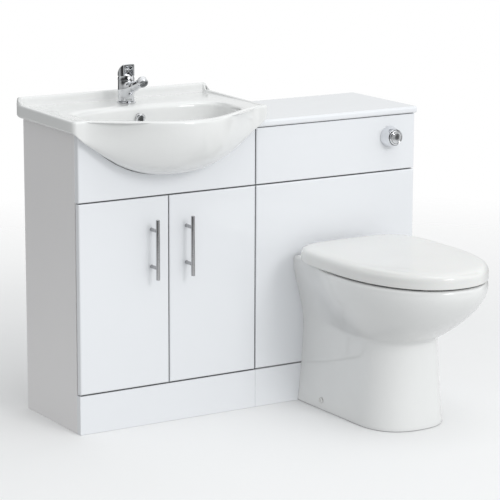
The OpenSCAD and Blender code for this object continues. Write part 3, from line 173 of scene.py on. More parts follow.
def gloss_board(name, colour=(0.85, 0.866, 0.892), rough=0.06, peel=0.012):
    m = Nodes(name)
    d = tuple(c * 0.985 for c in colour)
    # painted shade: the board turns grey where it is closed in within 8 mm, at seams and where the basin
    # meets it
    m.set("Base Color", m.painted_shade_in_gaps(m.speckle(d, colour, 3.5, 4), 0.008, (0.22, 0.225, 0.23)))
    m.set("Roughness", m.span(m.noise(14, 4, w=2), rough - 0.03, rough + 0.05))
    m.set("IOR", 1.5)
    m.bump(m.noise(420, 2, 0.5), peel, 0.0005)
    return m.mat


def seat_plastic():
    m = Nodes("seat_gloss")
    # painted shade: the seat plastic turns near black where it is closed in within 12 mm, in the gap under
    # the lid
    m.set("Base Color", m.painted_shade_in_gaps(m.speckle((0.805, 0.80, 0.785), (0.835, 0.83, 0.815), 5, 3), 0.012))
    m.set("Roughness", m.span(m.noise(22, 3, w=5), 0.03, 0.07))
    m.set("IOR", 1.52)
    m.set("Subsurface Weight", 0.02)
    m.bump(m.noise(240, 2, 0.5), 0.02, 0.0004)
    return m.mat


def chrome():
    m = Nodes("polished_chrome")
    m.set("Base Color", m.speckle((0.72, 0.73, 0.75), (0.80, 0.81, 0.83), 40, 3))
    m.set("Metallic", 1.0)
    m.set("Roughness", m.span(m.noise(60, 4, w=2), 0.045, 0.11))
    m.bump(m.noise(90, 2, 0.5, w=4), 0.015, 0.0005)
    return m.mat


def brushed(name, colour, rough, stretch):
    """Metal with fine lines along the axis that stretch makes small."""
    m = Nodes(name)
    f = m.noise(220, 3, 0.6, stretch)
    d = tuple(c * 0.86 for c in colour)
    m.set("Base Color", m.blend(m.span(f, 0.0, 1.0), d, colour))
    m.set("Metallic", 1.0)
    m.set("Roughness", m.span(m.noise(160, 3, 0.6, stretch, 2), rough - 0.06, rough + 0.08))
    m.bump(f, 0.08, 0.0003)
    return m.mat


def plastic(name, colour, rough=0.42, grain=0.08, metallic=0.0, scale=600):
    m = Nodes(name)
    d = tuple(c * 0.9 for c in colour)
    m.set("Base Color", m.speckle(d, colour, 9, 4))
    m.set("Roughness", m.span(m.noise(25, 4, w=3), rough - 0.06, rough + 0.08))
    m.set("Metallic", metallic)
    m.bump(m.noise(scale, 2, 0.6), grain, 0.0004)
    return m.mat


M = {
    "ceramic": glaze(),
    "gloss_front": gloss_board("white_gloss_foil"),
    "board": gloss_board("white_melamine", (0.865, 0.85, 0.85), 0.34, 0.10),
    "seat": seat_plastic(),
    "chrome": chrome(),
    "satin_steel": brushed("brushed_steel_bar", (0.50, 0.50, 0.51), 0.20, (1, 1, 0.04)),
    "plated_steel": brushed("zinc_plated_steel", (0.62, 0.63, 0.65), 0.34, (1, 0.2, 1)),
    "brass": plastic("turned_brass", (0.72, 0.52, 0.24), 0.28, 0.05, 1.0, 300),
    "white_plastic": plastic("white_moulding", (0.80, 0.80, 0.785)),
    "grey_plastic": plastic("grey_moulding", (0.30, 0.31, 0.32)),
    "red_plastic": plastic("red_moulding", (0.45, 0.035, 0.03)),
    "black_rubber": plastic("black_rubber", (0.022, 0.022, 0.022), 0.62, 0.15),
    "clear_rubber": plastic("pale_buffer_rubber", (0.72, 0.72, 0.70), 0.38, 0.05),
}
SLOTS = {s["node"]: s["material_slot"] for s in frame["record"]["subparts"]}
BODY = {n: b for b, ns in frame["record"]["behaviour"]["bodies"].items() for n in ns}
for name, o in frame["nodes"].items():
    if not o.material_slots:
        o.data.materials.append(M[SLOTS[name]])
    for one in o.material_slots:
        one.material = M[SLOTS[name]]


# ---------------------------------------------------------------- mesh helpers

def clean_object(name, verts, faces):
    """A linked object from points in drawing millimetres, welded and with its normals outward."""
    me = bpy.data.meshes.new(name)
    me.from_pydata([P(*v) for v in verts], [], faces)
    bm = bmesh.new()
    bm.from_mesh(me)
    bmesh.ops.remove_doubles(bm, verts=bm.verts, dist=WELD)
    bmesh.ops.recalc_face_normals(bm, faces=bm.faces)
    bm.to_mesh(me)
    bm.free()
    o = bpy.data.objects.new(name, me)
    bpy.context.scene.collection.objects.link(o)
    return o


def shade(o, angle):
    """Smooth shading with sharp edges above the angle in degrees."""
    o.data.polygons.foreach_set("use_smooth", [True] * len(o.data.polygons))
    o.data.set_sharp_from_angle(angle=math.radians(angle))


def piece(name, verts, faces, node, angle):
    """A visible piece that stands for a CAD node and rides with its body."""
    o = clean_object(name, verts, faces)
    shade(o, angle)
    o.data.materials.append(M[SLOTS[node]])
    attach(o, BODY[node])
    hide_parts(node)
    return o


def add_to(o, verts, faces, angle, weld=0.0):
    """Adds closed shapes, in drawing millimetres, to a piece."""
    me = bpy.data.meshes.new("added")
    me.from_pydata([P(*v) for v in verts], [], faces)
    bm = bmesh.new()
    bm.from_mesh(o.data)
    bm.from_mesh(me)
    if weld:
        bmesh.ops.remove_doubles(bm, verts=bm.verts, dist=weld)
    bm.to_mesh(o.data)
    bm.free()
    shade(o, angle)


def loft_faces(rows, n, loop=False):
    """Quads between rings of n points; loop joins the last ring to the first."""
    faces = []
    for j in range(rows if loop else rows - 1):
        a, b = j * n, (j + 1) % rows * n
        faces += [(a + i, a + (i + 1) % n, b + (i + 1) % n, b + i) for i in range(n)]
    return faces


def fill_cap(verts, ring, z_centre, steps=6):
    """Closes a ring of vertex numbers towards its middle, as smooth quads and a fan."""
    pts = [verts[i] for i in ring]
    c = [sum(p[k] for p in pts) / len(pts) for k in range(3)]
    c[2] = z_centre
    faces, last = [], list(ring)
    n = len(ring)
    for s in range(1, steps):
        t = s / steps
        new = []
        for p in pts:
            q = [mix(p[0], c[0], t), mix(p[1], c[1], t), mix(p[2], c[2], 1 - (1 - t) ** 2)]
            new.append(len(verts))
            verts.append(q)
        faces += [(last[i], last[(i + 1) % n], new[(i + 1) % n], new[i]) for i in range(n)]
        last = new
    verts.append(c)
    faces += [(last[i], last[(i + 1) % n], len(verts) - 1) for i in range(n)]
    return faces


def closed_loft(rings, low_z, high_z):
    """(vertices, faces) of rings round the pan's middle line, with a filled cap at both ends."""
    n = len(rings[0])
    verts = [(x + PX, y, z) for r in rings for x, y, z in r]
    faces = loft_faces(len(rings), n)
    faces += [tuple(reversed(q)) for q in fill_cap(verts, list(range(n)), low_z)]
    faces += fill_cap(verts, list(range((len(rings) - 1) * n, len(rings) * n)), high_z)
    return verts, faces


def lathe(profile, matrix, steps):
    """(vertices, faces) of a profile [(radius, height)] turned round local Z and moved by matrix."""
    verts, rows = [], []
    for r, h in profile:
        if r < 1e-6:
            rows.append([len(verts)] * steps)
            verts.append(tuple(matrix @ Vector((0, 0, h))))
        else:
            rows.append(list(range(len(verts), len(verts) + steps)))
            verts += [tuple(matrix @ Vector((r * cos(2 * pi * i / steps), r * sin(2 * pi * i / steps), h)))
                      for i in range(steps)]
    faces = []
    for a, b in zip(rows, rows[1:]):
        for i in range(steps):
            k = (i + 1) % steps
            f = []
            for v in (a[i], a[k], b[k], b[i]):
                if v not in f:
                    f.append(v)
            if len(f) > 2:
                faces.append(tuple(f))
    return verts, faces


def soften(points, r, steps=4):
    """The profile with each inner corner rounded to about radius r."""
    out = [points[0]]
    for a, b, c in zip(points, points[1:], points[2:]):
        a, b, c = Vector(a), Vector(b), Vector(c)
        la, lc = (a - b).length, (c - b).length
        k = min(r, la * 0.45, lc * 0.45)
        p, q = b + (a - b) * (k / la), b + (c - b) * (k / lc)
        out += [tuple(p.lerp(b, t).lerp(b.lerp(q, t), t)) for t in [s / steps for s in range(steps + 1)]]
    return out + [points[-1]]


def join_parts(*parts):
    """One (vertices, faces) of several."""
    verts, faces = [], []
    for v, f in parts:
        k = len(verts)
        verts += v
        faces += [tuple(i + k for i in q) for q in f]
    return verts, faces


def at(x, y, z, rx=0.0, ry=0.0):
    """A place in drawing millimetres, turned rx degrees round X and then ry degrees round Y."""
    return (Matrix.Translation((x, y, z)) @ Matrix.Rotation(math.radians(ry), 4, "Y")
            @ Matrix.Rotation(math.radians(rx), 4, "X"))


def cut(o, cutters):
    """Cuts closed (vertices, faces) shapes, in drawing millimetres, out of a piece for good."""
    for v, f in cutters:
        c = clean_object("cutter", v, f)
        b = o.modifiers.new("cut", "BOOLEAN")
        b.operation, b.solver, b.object = "DIFFERENCE", "EXACT", c
        dep = bpy.context.evaluated_depsgraph_get()
        new = bpy.data.meshes.new_from_object(o.evaluated_get(dep))
        o.modifiers.remove(b)
        o.data = new
        bpy.data.objects.remove(c)


def surface(field, low, high, step, polish=3):
    """(vertices, faces) of the zero surface of field(x, y, z), negative inside, by surface nets."""
    low, high = np.array(low, float), np.array(high, float)
    n = np.ceil((high - low) / step).astype(int) + 1
    ax = [low[k] + step * np.arange(n[k]) for k in range(3)]
    g = np.meshgrid(*ax, indexing="ij")
    d = field(*g)
    inside = d < 0
    m = [s - 1 for s in d.shape]
    acc = np.zeros((*m, 3))
    hits = np.zeros(m)

    def corner(a, o):
        return a[o[0]:o[0] + m[0], o[1]:o[1] + m[1], o[2]:o[2] + m[2]]
    offs = [(i, j, k) for i in (0, 1) for j in (0, 1) for k in (0, 1)]
    for o in offs:
        for axis in range(3):
            if o[axis]:
                continue
            e = list(o)
            e[axis] = 1
            a, b = corner(d, o), corner(d, e)
            x = (a < 0) != (b < 0)
            t = np.where(x, a / np.where(x, a - b, 1), 0)
            for k in range(3):
                acc[..., k] += np.where(x, o[k] + (t if k == axis else 0), 0)
            hits += x
    active = hits > 0
    ids = -np.ones(m, int)
    ids[active] = np.arange(active.sum())
    cell = np.argwhere(active)
    v = low + step * (cell + acc[active] / hits[active][:, None])
    h = step * 0.05
    for _ in range(polish):
        f0 = field(*v.T)
        rise = [field(*(v + h * e).T) - field(*(v - h * e).T) for e in np.eye(3)]
        grad = np.stack(rise, 1) / (2 * h)
        g2 = np.maximum((grad ** 2).sum(1), 1e-6)
        v = v - np.clip((f0 / g2)[:, None] * grad, -step * 0.6, step * 0.6)
    faces = []
    for axis in range(3):
        u, w = [(1, 2), (2, 0), (0, 1)][axis]
        e = [slice(None)] * 3
        e[axis] = slice(0, -1)
        f = [slice(None)] * 3
        f[axis] = slice(1, None)
        flip = inside[tuple(e)] != inside[tuple(f)]
        for q in np.argwhere(flip):
            if q[u] < 1 or q[w] < 1 or q[u] > ids.shape[u] - 1 or q[w] > ids.shape[w] - 1:
                continue
            quad = []
            for du, dw in ((0, 0), (-1, 0), (-1, -1), (0, -1)):
                p = q.copy()
                p[u] += du
                p[w] += dw
                quad.append(int(ids[tuple(p)]))
            if min(quad) >= 0:
                faces.append(tuple(quad))
    return [tuple(p) for p in v], faces


def smin(a, b, k):
    """The smaller of a and b, blended over k."""
    h = np.clip(0.5 + 0.5 * (b - a) / k, 0, 1)
    return b * (1 - h) + a * h - k * h * (1 - h)


def smax(a, b, k):
    return -smin(-a, -b, k)


# ---------------------------------------------------------------- basin

VW, UD, VH = 520.0, 300.0, 775.0      # the basin cabinet's width, depth and height
BW, OVER, EDGE = 565.0, 26.0, 33.0    # the basin's width, overhang in front and edge height
UP_H, UP_T = 17.0, 14.0               # the upstand's height and thickness
RIM_BULGE = 134.0                     # how far the rim's middle stands out in front
BOWL_HALF, BOWL_FRONT, BOWL_REAR = 218, 154, 105
BOWL_MID_Y = 50
TOP = VH + EDGE
DECK = TOP - 3
HALF = BW / 2
VMID = VW / 2
WASTE_Y, TAP_Y = 70.0, 222.0
BOWL_LOW = DECK - 148
UNDER = BOWL_LOW - 18                 # the level of the basin's waste face underneath
RIM_HALF = HALF - 28
CUT_HALF, CUT_DEPTH = HALF - 27.5, 122.5
SHELL_BACK = 195.0                    # where the bowl's outside ends below the deck
WALL = 24
WASTE_BORE, TAP_BORE, TAP_SEAT = 23.2, 17.5, 25.6


def bulge(x):
    """The rim's outline in front, as a share of its full bulge."""
    return 0.0 if abs(x) >= RIM_HALF else cosd(90 * abs(x) / RIM_HALF) ** 1.4


def bowl_cut(x):
    """The height where the bowl's outside meets the front panel."""
    return VH - CUT_DEPTH * (1 - min(1.0, abs(x) / CUT_HALF) ** 2.3)


CN, FN, SN, WN = 8, 96, 18, 40        # points on a corner, the front, a side and the back
R0 = 12.0


def slab_outline(e):
    """The deck's outline without its bulge, e inside; each point's last value is 1 in front."""
    x, y0, y1, r = HALF - e, e - OVER, UD - e, max(1.0, R0 - e)
    fx, s0, s1 = x - R0, y0 + R0, y1 - R0

    def corner(cx, cy, start, front):
        turns = [start + 90 * (i + 0.5) / CN for i in range(CN)]
        return [(cx + r * cosd(t), cy + r * sind(t), front) for t in turns]
    return (corner(r - x, y0 + r, 180, 1)
            + [(mix(-fx, fx, i / (FN - 1)), y0, 1) for i in range(FN)]
            + corner(x - r, y0 + r, 270, 1)
            + [(x, mix(s0, s1, i / (SN - 1)), 0) for i in range(SN)]
            + corner(x - r, y1 - r, 0, 0)
            + [(mix(fx, -fx, i / (WN - 1)), y1, 0) for i in range(WN)]
            + corner(r - x, y1 - r, 90, 0)
            + [(-x, mix(s1, s0, i / (SN - 1)), 0) for i in range(SN)])


SLAB = slab_outline(0)


def edge_ring(e, z, rise=UP_H, climb=5.0):
    """The rim e inside its outline: the upstand adds rise at the back, the edge climbs towards it."""
    out = []
    for x, y, f in slab_outline(e):
        lift = clamp01((HALF - abs(x)) / 5) if y > UD - UP_T - 1 else 0
        out.append((x, y - f * bulge(x) * (RIM_BULGE - e), z + climb * clamp01(y / UD) + rise * lift ** 0.7))
    return out


def under_pts(front):
    """The bowl's outside where it leaves the front panel and the deck's underside."""
    out = []
    for x, y, f in SLAB:
        t = math.atan2(max(y, 0) / UD, x / HALF)
        u = x * CUT_HALF / HALF
        behind = CUT_HALF * power(cos(t), 3), max(front, SHELL_BACK * power(sin(t), 3)), VH
        out.append((u, front, bowl_cut(u)) if f else behind)
    return out


def outer_ring(turn):
    """The bowl's outside between the cut in the front panel (90) and the rim (0)."""
    out = []
    for (sx, _, f), o, u in zip(SLAB, edge_ring(0, 0, 0), under_pts(0)):
        p = mix(0.25, 0.95, (f * bulge(sx)) ** 0.4)
        c, s = max(cosd(turn), 0) ** p, max(sind(turn), 0) ** (1.2 * p)
        out.append((mix(u[0], o[0], c), mix(u[1], o[1], c), mix(TOP - 8, u[2], s)))
    return out


def to_waste(points, turn, pc, ps, r, low):
    """A ring between the given points (0) and a circle of radius r round the waste (90)."""
    out = []
    for x, y, z in points:
        t = math.atan2(y - WASTE_Y, x)
        c, s = max(cosd(turn), 0) ** pc, sind(turn) ** ps
        out.append((mix(r * cos(t), x, c), mix(WASTE_Y + r * sin(t), y, c), mix(z, low, s)))
    return out


def bowl_pts(out_by, z):
    """The bowl's opening, wider all round by out_by, with a point for each point of the slab."""
    out = []
    for x, y, f in SLAB:
        n, depth, reach = (2.3, BOWL_MID_Y + OVER, BOWL_FRONT) if y < BOWL_MID_Y else (
            3.5, UD - BOWL_MID_Y, BOWL_REAR)
        t = math.atan2((y - BOWL_MID_Y) / depth, x / HALF)
        out.append(((BOWL_HALF + out_by) * power(cos(t), n),
                    BOWL_MID_Y + (reach + out_by) * power(sin(t), n), z))
    return out


def round_hole(r, z):
    """A circle round the waste, with a point for each point of the slab."""
    out = []
    for x, y, _ in under_pts(WALL):
        t = math.atan2(y - WASTE_Y, x)
        out.append((r * cos(t), WASTE_Y + r * sin(t), z))
    return out


OVERFLOW = at(VMID, 145, DECK - 32, 104)
TAP_PLACE = at(VMID, TAP_Y, 0)


def plug_shape(r, z0, z1):
    """The profile of a plain cylinder."""
    return [(0, z0), (r, z0), (r, z1), (0, z1)]


def basin():
    rings = [round_hole(WASTE_BORE, UNDER)]
    rings += [to_waste(under_pts(WALL), t, 0.8, 1.1, 34, UNDER)
              for t in (90, 80, 68, 56, 46, 36, 24, 12, 0)]
    rings += [outer_ring(t) for t in (90, 86, 82, *range(78, 12, -5), 9, 6, 3)]
    rings += [edge_ring(e, TOP + z) for e, z in ((0, -7), (0.25, -4.6), (0.9, -2.9), (2.3, -1.2),
                                                 (4.2, -0.35), (6.6, 0), (9, 0), (10.8, -0.6))]
    rings += [edge_ring(12.2, TOP - 2, UP_H - 2), edge_ring(13, TOP - 2.5, UP_H - 8, 4),
              edge_ring(UP_T - 0.3, DECK + 0.9, 3, 2), edge_ring(UP_T + 1.6, DECK + 0.25, 0, 0)]
    rings += [bowl_pts(e, DECK + z) for e, z in ((26, 0.1), (18, 0), (12, -0.6), (7, -2.4), (3.2, -5.4),
                                                 (1, -9))]
    rings += [to_waste(bowl_pts(0, DECK - 12), t, 0.75, 1.05, 36, BOWL_LOW) for t in range(0, 91, 5)]
    rings += [round_hole(r, BOWL_LOW - z) for r, z in ((33.6, 0.2), (33, 0.8), (33, 2.5),
                                                       (WASTE_BORE, 2.5))]
    verts = [(x + VMID, y, z) for r in rings for x, y, z in r]
    o = piece("basin_glazed", verts, loft_faces(len(rings), len(SLAB), loop=True), "basin", 50)
    behind = at(VMID, 242, 0) @ Matrix.Diagonal((1, 0.24, 1, 1))
    cut(o, [lathe(plug_shape(10, -26, 34), OVERFLOW, 64),
            lathe(plug_shape(TAP_BORE, VH - 20, TOP + 20), TAP_PLACE, 64),
            lathe(plug_shape(TAP_SEAT, DECK, TOP + 20), TAP_PLACE, 64),
            lathe(plug_shape(150, VH - 5, DECK - 15), behind, 96)])
    shade(o, 50)


basin()
v, f = lathe(soften([(7.5, -14), (9.6, -14), (9.6, 0.4), (13.5, 0.4), (13.4, 1.2), (12, 2.6), (10.4, 3),
                     (8.8, 2.7), (7.5, 1.2), (7.5, -14)], 0.6), OVERFLOW, 72)
piece("overflow_trim", v, f, "overflow_ring", 60)
cover = [(0, 5.6), (8, 5.45), (16, 4.9), (24, 3.9), (29, 2.8), (31, 1.6), (30.6, 0.4), (28, 0.4),
         (9, -1.6), (3, -4)]
v, f = lathe(soften([(r, BOWL_LOW + z) for r, z in cover] + [(3, UNDER - 34), (0, UNDER - 34)], 0.7),
             at(VMID, WASTE_Y, 0), 80)
piece("plug_cover", v, f, "basin_plug", 50)

# ---------------------------------------------------------------- tap

BASE_Z = DECK + 4                     # the top of the base ring, where the body turns
PIVOT = BASE_Z + 56                   # the level of the axis that the lever lifts about


def length(*a):
    return np.sqrt(sum(v * v for v in a))


def cyl_z(x, y, z, r, z0, z1, k):
    """Distance to an upright cylinder with its edges rounded by k."""
    return smax(length(x, y) - r, np.maximum(z0 - z, z - z1), k)


def bone(x, y, z, a, b, ra, rb):
    """Distance to a round bar from a to b whose radius goes from ra to rb."""
    d = np.array(b, float) - np.array(a, float)
    h = np.clip(((x - a[0]) * d[0] + (y - a[1]) * d[1] + (z - a[2]) * d[2]) / (d @ d), 0, 1)
    away = length(x - a[0] - h * d[0], y - a[1] - h * d[1], z - a[2] - h * d[2])
    return away - (ra + (rb - ra) * smooth(h))


def rod(x, y, z, a, u, r, l0, l1, k):
    """Distance to a cylinder round the line from a along u, from l0 to l1."""
    px, py, pz = x - a[0], y - a[1], z - a[2]
    h = px * u[0] + py * u[1] + pz * u[2]
    away = length(px - h * u[0], py - h * u[1], pz - h * u[2])
    return smax(away - r, np.maximum(l0 - h, h - l1), k)


NOZZLE = (0, -91, PIVOT + 2)          # the middle of the spout's mouth, from the tap's axis
TILT = 125
AIM = (0, -sind(TILT), cosd(TILT))
ELBOW = (0, -47, PIVOT - 12)


def tap_body_field(x, y, z):
    """The body with its spout, from the tap's axis."""
    foot = 0.5 * np.clip((BASE_Z + 10 - z) / 10, 0, 1) - 1.2 * np.clip((BASE_Z + 1.6 - z) / 0.8, 0, 1)
    d = cyl_z(x, y, z, 21.4 + foot, BASE_Z, PIVOT, 1.0)
    arm = bone(x, y, z, (0, -6, BASE_Z + 30), ELBOW, 19, 12)
    arm = smin(arm, bone(x, y, z, ELBOW, (0, -83, PIVOT + 1), 12, 11.5), 5)
    d = smin(d, arm, 9)
    d = smin(d, rod(x, y, z, NOZZLE, AIM, 12.8, -13, 6, 4), 3.5)
    d = smax(d, z - PIVOT - 40 * np.clip(-y - 21.5, 0, 1), 0.8)
    d = smax(d, -rod(x, y, z, NOZZLE, AIM, 10.8, 0.5, 20, 0.5), 0.7)
    d = smax(d, -cyl_z(x, y, z, 17.7, PIVOT - 12, PIVOT + 30, 0.3), 0.5)
    return np.where(length(x, y) < 22.6, smax(d, z - PIVOT, 0.6), d)


ROOF_R, ROOF_Y, ROOF_DROP = 65.4, 36.4, 19.4


def tap_lever_field(x, y, z):
    """The domed head with its arched roof and scoop, and the tongue on the axis inside."""
    q = z - PIVOT
    back = np.clip((y + 14) / 28, 0, 1)
    arch = np.sqrt(np.maximum(ROOF_R ** 2 - (y + ROOF_Y) ** 2, 1)) - ROOF_DROP
    roof = q - (arch - (0.003 + 0.024 * back) * x * x)
    roof = roof / np.sqrt(1 + np.clip((y + ROOF_Y) / 46, 0, 1.3) ** 2)
    side = smax(length(x, y) - 21.8, -15.2 - y, 1.6)
    low = 9.6 - q - 0.02 * (y + 15) ** 2 * (y < -15)
    d = smax(smax(roof, side, 2.2), low, 1.2)
    cubes = np.abs(x / 12.4) ** 3 + np.abs((y + 19) / 16.5) ** 3 + np.abs((q - 21) / 15) ** 3
    scoop = cubes ** (1 / 3) - 1
    d = smax(d, -scoop * 12, 1.4)
    d = smax(d, 22.4 - length(x, y, q), 0.6)
    tongue = np.maximum(np.maximum(np.abs(x) - 4.4, np.abs(y) - 4.8), np.maximum(-q, q - 26))
    tongue = np.minimum(tongue, rod(x, y, q, (0, 0, 0), (1, 0, 0), 4.8, -4.4, 4.4, 0.5))
    return np.minimum(d, smax(tongue, 2.1 - length(y, q), 0.3))


def tap_piece(name, field, low, high, step, node):
    v, f = surface(field, low, high, step)
    v = [(x + VMID, y + TAP_Y, z) for x, y, z in v]
    piece(name, v, f, node, 55)


tap_piece("tap_body_spout", tap_body_field, (-24, -108, BASE_Z - 2), (24, 25, PIVOT + 24), 1.0,
          "tap_body")
tap_piece("tap_lever_hood", tap_lever_field, (-24, -25, PIVOT - 7), (24, 26, PIVOT + 45), 0.8,
          "tap_lever")
v, f = lathe(soften([(15.8, DECK + 0.05), (25, DECK + 0.05), (25, DECK + 2.4), (23.6, DECK + 3.7),
                     (21.6, BASE_Z), (15.8, BASE_Z), (15.8, DECK + 0.05)], 0.7), TAP_PLACE, 80)
piece("tap_base_trim", v, f, "tap_base_ring", 60)


def aerator():
    """A ring with a cup behind it and a grid of seven wires each way across it."""
    face = at(VMID, TAP_Y + NOZZLE[1], NOZZLE[2], TILT)
    ring = soften([(8.6, 2.6), (10.7, 2.6), (10.7, 5.6), (9.8, 6.2), (8.9, 5.4), (8.6, 2.6)], 0.3)
    cup = [(0, -2.4), (10.6, -2.4), (10.6, 2.7), (8.6, 2.7), (8.6, -1.8), (0, -1.8)]
    parts = [lathe(ring, face, 64), lathe(cup, face, 48)]
    apart, reach, wire = 2.3, 8.7, 0.35
    for k in range(-3, 4):
        w = math.sqrt(max(0, reach ** 2 - (k * apart) ** 2))
        for turn in (0, 90):
            m = (face @ Matrix.Rotation(math.radians(turn), 4, "Z")
                 @ Matrix.Translation((k * apart, 0, 3.4)) @ Matrix.Rotation(pi / 2, 4, "X"))
            parts.append(lathe(plug_shape(wire, -w, w), m, 6))
    v, f = join_parts(*parts)
    piece("tap_aerator_grid", v, f, "tap_aerator", 40)


aerator()


# ---------------------------------------------------------------- flush button

BUTTON = at(938.5, 0, 691.0, 90)      # heights on it count outwards from the panel's face
SPLIT = 4.0                           # the gap between the halves, right of the button's middle


def flush_collar():
    """The dome on the panel, with its nut and the end of its barrel behind."""
    dome = [(20.5, -62), (25, -62), (25, 0.25), (28, 0.3), (28, 3.2), (27.3, 8), (26, 15), (24.2, 23),
            (22.9, 29), (22.2, 31.4), (21.4, 32), (20.9, 31.6), (20.5, 30), (20.5, -62)]
    nut = [(25.1, -28), (33, -28), (33, -18.2), (25.1, -18.2), (25.1, -28)]
    v, f = join_parts(lathe(soften(dome, 1.2, 5), BUTTON, 96), lathe(soften(nut, 0.8), BUTTON, 6),
                      lathe(plug_shape(20.6, -62, -59), BUTTON, 64))
    piece("flush_collar_dome", v, f, "flush_collar", 40)


flush_collar()


def button_half(name, side, node):
    """Half of the domed key, on the given side of the gap, with its stem behind."""
    key = [(0, -14), (20, -14), (20, 33.6), (19.4, 35.2), (17.6, 36.4), (15.6, 36.5), (14.4, 35.9),
           (12.6, 36.6), (7, 37.5), (0, 38)]
    v, f = lathe(soften(key, 0.9), Matrix.Identity(4), 96)
    me = bpy.data.meshes.new(name)
    me.from_pydata(v, [], f)
    bm = bmesh.new()
    bm.from_mesh(me)
    bmesh.ops.remove_doubles(bm, verts=bm.verts, dist=1e-5)
    g = bm.verts[:] + bm.edges[:] + bm.faces[:]
    r = bmesh.ops.bisect_plane(bm, geom=g, plane_co=(SPLIT + side * 0.3, 0, 0),
                               plane_no=(-side, 0, 0), clear_outer=True)
    edges = [e for e in r["geom_cut"] if isinstance(e, bmesh.types.BMEdge)]
    bmesh.ops.holes_fill(bm, edges=edges)
    bm.normal_update()
    bm.verts.index_update()
    v = [tuple(BUTTON @ q.co) for q in bm.verts]
    f = [tuple(w.index for w in q.verts) for q in bm.faces]
    bm.free()
    stem_x = SPLIT + side * (8 if side > 0 else 14)
    stem = lathe(soften(plug_shape(3, -50, -13), 0.4), BUTTON @ Matrix.Translation((stem_x, 0, 0)), 32)
    v, f = join_parts((v, f), stem)
    piece(name, v, f, node, 40)


button_half("flush_full_key", -1, "flush_button_full")
button_half("flush_half_key", 1, "flush_button_half")


# ---------------------------------------------------------------- handles

BAR_X, BAR_Y, POSTS_Z = 208.75, -33.5, (416, 512)
BAR = soften([(0, 386), (4.2, 386), (5, 386.8), (5, 541.2), (4.2, 542), (0, 542)], 0.5)
POST = soften([(0, 29.6), (4.5, 29.6), (4.5, 3), (4.8, 1.2), (5.2, 0.5), (0, 0.5)], 0.5)
SCREW_HEAD = soften([(0, -15.5), (4.5, -15.5), (4.3, -16.6), (3, -17), (1.2, -17), (1.0, -16.2),
                     (0, -16.2)], 0.3)

for side, x in (("left", BAR_X), ("right", VW - BAR_X)):
    v, f = lathe(BAR, at(x, BAR_Y, 0), 48)
    piece(side + "_pull_bar", v, f, side + "_handle_bar", 40)
    parts = []
    for z in POSTS_Z:
        m = at(x, 0, z, 90)
        parts += [lathe(POST, m, 40), lathe(plug_shape(2.5, 1, -15.5), m, 24), lathe(SCREW_HEAD, m, 40)]
    v, f = join_parts(*parts)
    piece(side + "_pull_posts", v, f, side + "_handle_posts", 40)


# ---------------------------------------------------------------- pan

PX = 772.5                            # the pan's middle line
PW, PO, PH = 368.0, 567.0, 400.0      # the pan's width, reach from the panel and height
CREASE, FO = 228.0, 402.0             # the crease's height and the foot's reach
FOOT_HALF, FOOT_FRONT, FOOT_BACK = 106, 392, 102
RIM_LOW = PH - 15
OPEN_Y = 330.0                        # the middle of the opening, from the panel
SOIL_Z, FLUSH_Z = 185, 335            # heights of the outlet and of the flush pipe's inlet
WAY_IN, WAY_OUT = (-230, 122), (-100, 265)      # (y, z) where the trapway leaves the bowl and turns
HINGE_X, HINGE_Y = 78, -52
LEVEL = 2.2                           # exponent of the opening's outline


def flare(z, top):
    """How much the foot spreads at height z, from 1 on the floor to 0 at top."""
    return 0.0 if z >= top else (1 - z / top) ** 1.5


def swell(z, p):
    """How far the bowl has come out at height z, from 0 at the crease to 1 under the rim."""
    return 1 - (1 - clamp01((z - CREASE) / (RIM_LOW - CREASE))) ** p


def soft_crease(f, z, w=9.0):
    """The value of f near the crease, blended so that the crease has a small radius."""
    if abs(z - CREASE) > w:
        return f(z)
    t = (z - CREASE + w) / (2 * w)
    a, b = f(CREASE - w), f(CREASE + w)
    da = (f(CREASE - w) - f(CREASE - w - 1)) * 2 * w
    db = (f(CREASE + w + 1) - f(CREASE + w)) * 2 * w
    return ((2 * t ** 3 - 3 * t ** 2 + 1) * a + (t ** 3 - 2 * t ** 2 + t) * da
            + (3 * t ** 2 - 2 * t ** 3) * b + (t ** 3 - t ** 2) * db)


def pan_half(z):
    return FOOT_HALF + 10 * flare(z, CREASE) + (PW / 2 - FOOT_HALF) * swell(z, 1.7)


def pan_front(z):
    return FOOT_FRONT + 10 * flare(z, CREASE) + (PO - FOOT_FRONT) * swell(z, 1.65)


def pan_back_half(z):
    return FOOT_BACK + 16 * flare(z, 200) + 32 * smooth(clamp01((z - 200) / (RIM_LOW - 200))) ** 1.3


def pan_wide_y(z):
    """The distance from the panel at which the pan is widest."""
    if z < CREASE:
        return mix(0.69, 0.64, z / CREASE) * FO
    return mix(0.64 * FO, 0.49 * PO, (z - CREASE) / (PH - CREASE))


PF, PS, PB = 72, 22, 14               # steps round the pan's front, along a side and its back


def pan_ring(z, e=0.0):
    """The pan's outline at height z, e inside."""
    a, b = soft_crease(pan_half, z) - e, pan_back_half(z) - e
    f, w = soft_crease(pan_front, z) - e, pan_wide_y(z)
    n, y1 = mix(2.4, 2.2, clamp01(z / RIM_LOW)), min(-0.3 - e, -0.3)
    turns = [180 + 180 * i / PF for i in range(PF + 1)]
    out = [(a * power(cosd(t), n), (f - w) * power(sind(t), n) - w, z) for t in turns]
    side = [(mix(a, b, smooth(i / (PS + 1))), mix(-w, y1, i / (PS + 1)), z) for i in range(1, PS + 1)]
    out += side
    out += [(mix(b, -b, i / PB), y1, z) for i in range(PB + 1)]
    out += [(-x, y, q) for x, y, q in reversed(side)]
    return out


TURNS = [math.degrees(math.atan2((y + OPEN_Y) / ((PO - OPEN_Y) if y < -OPEN_Y else OPEN_Y), 2 * x / PW))
         for x, y, _ in pan_ring(PH, 7)]
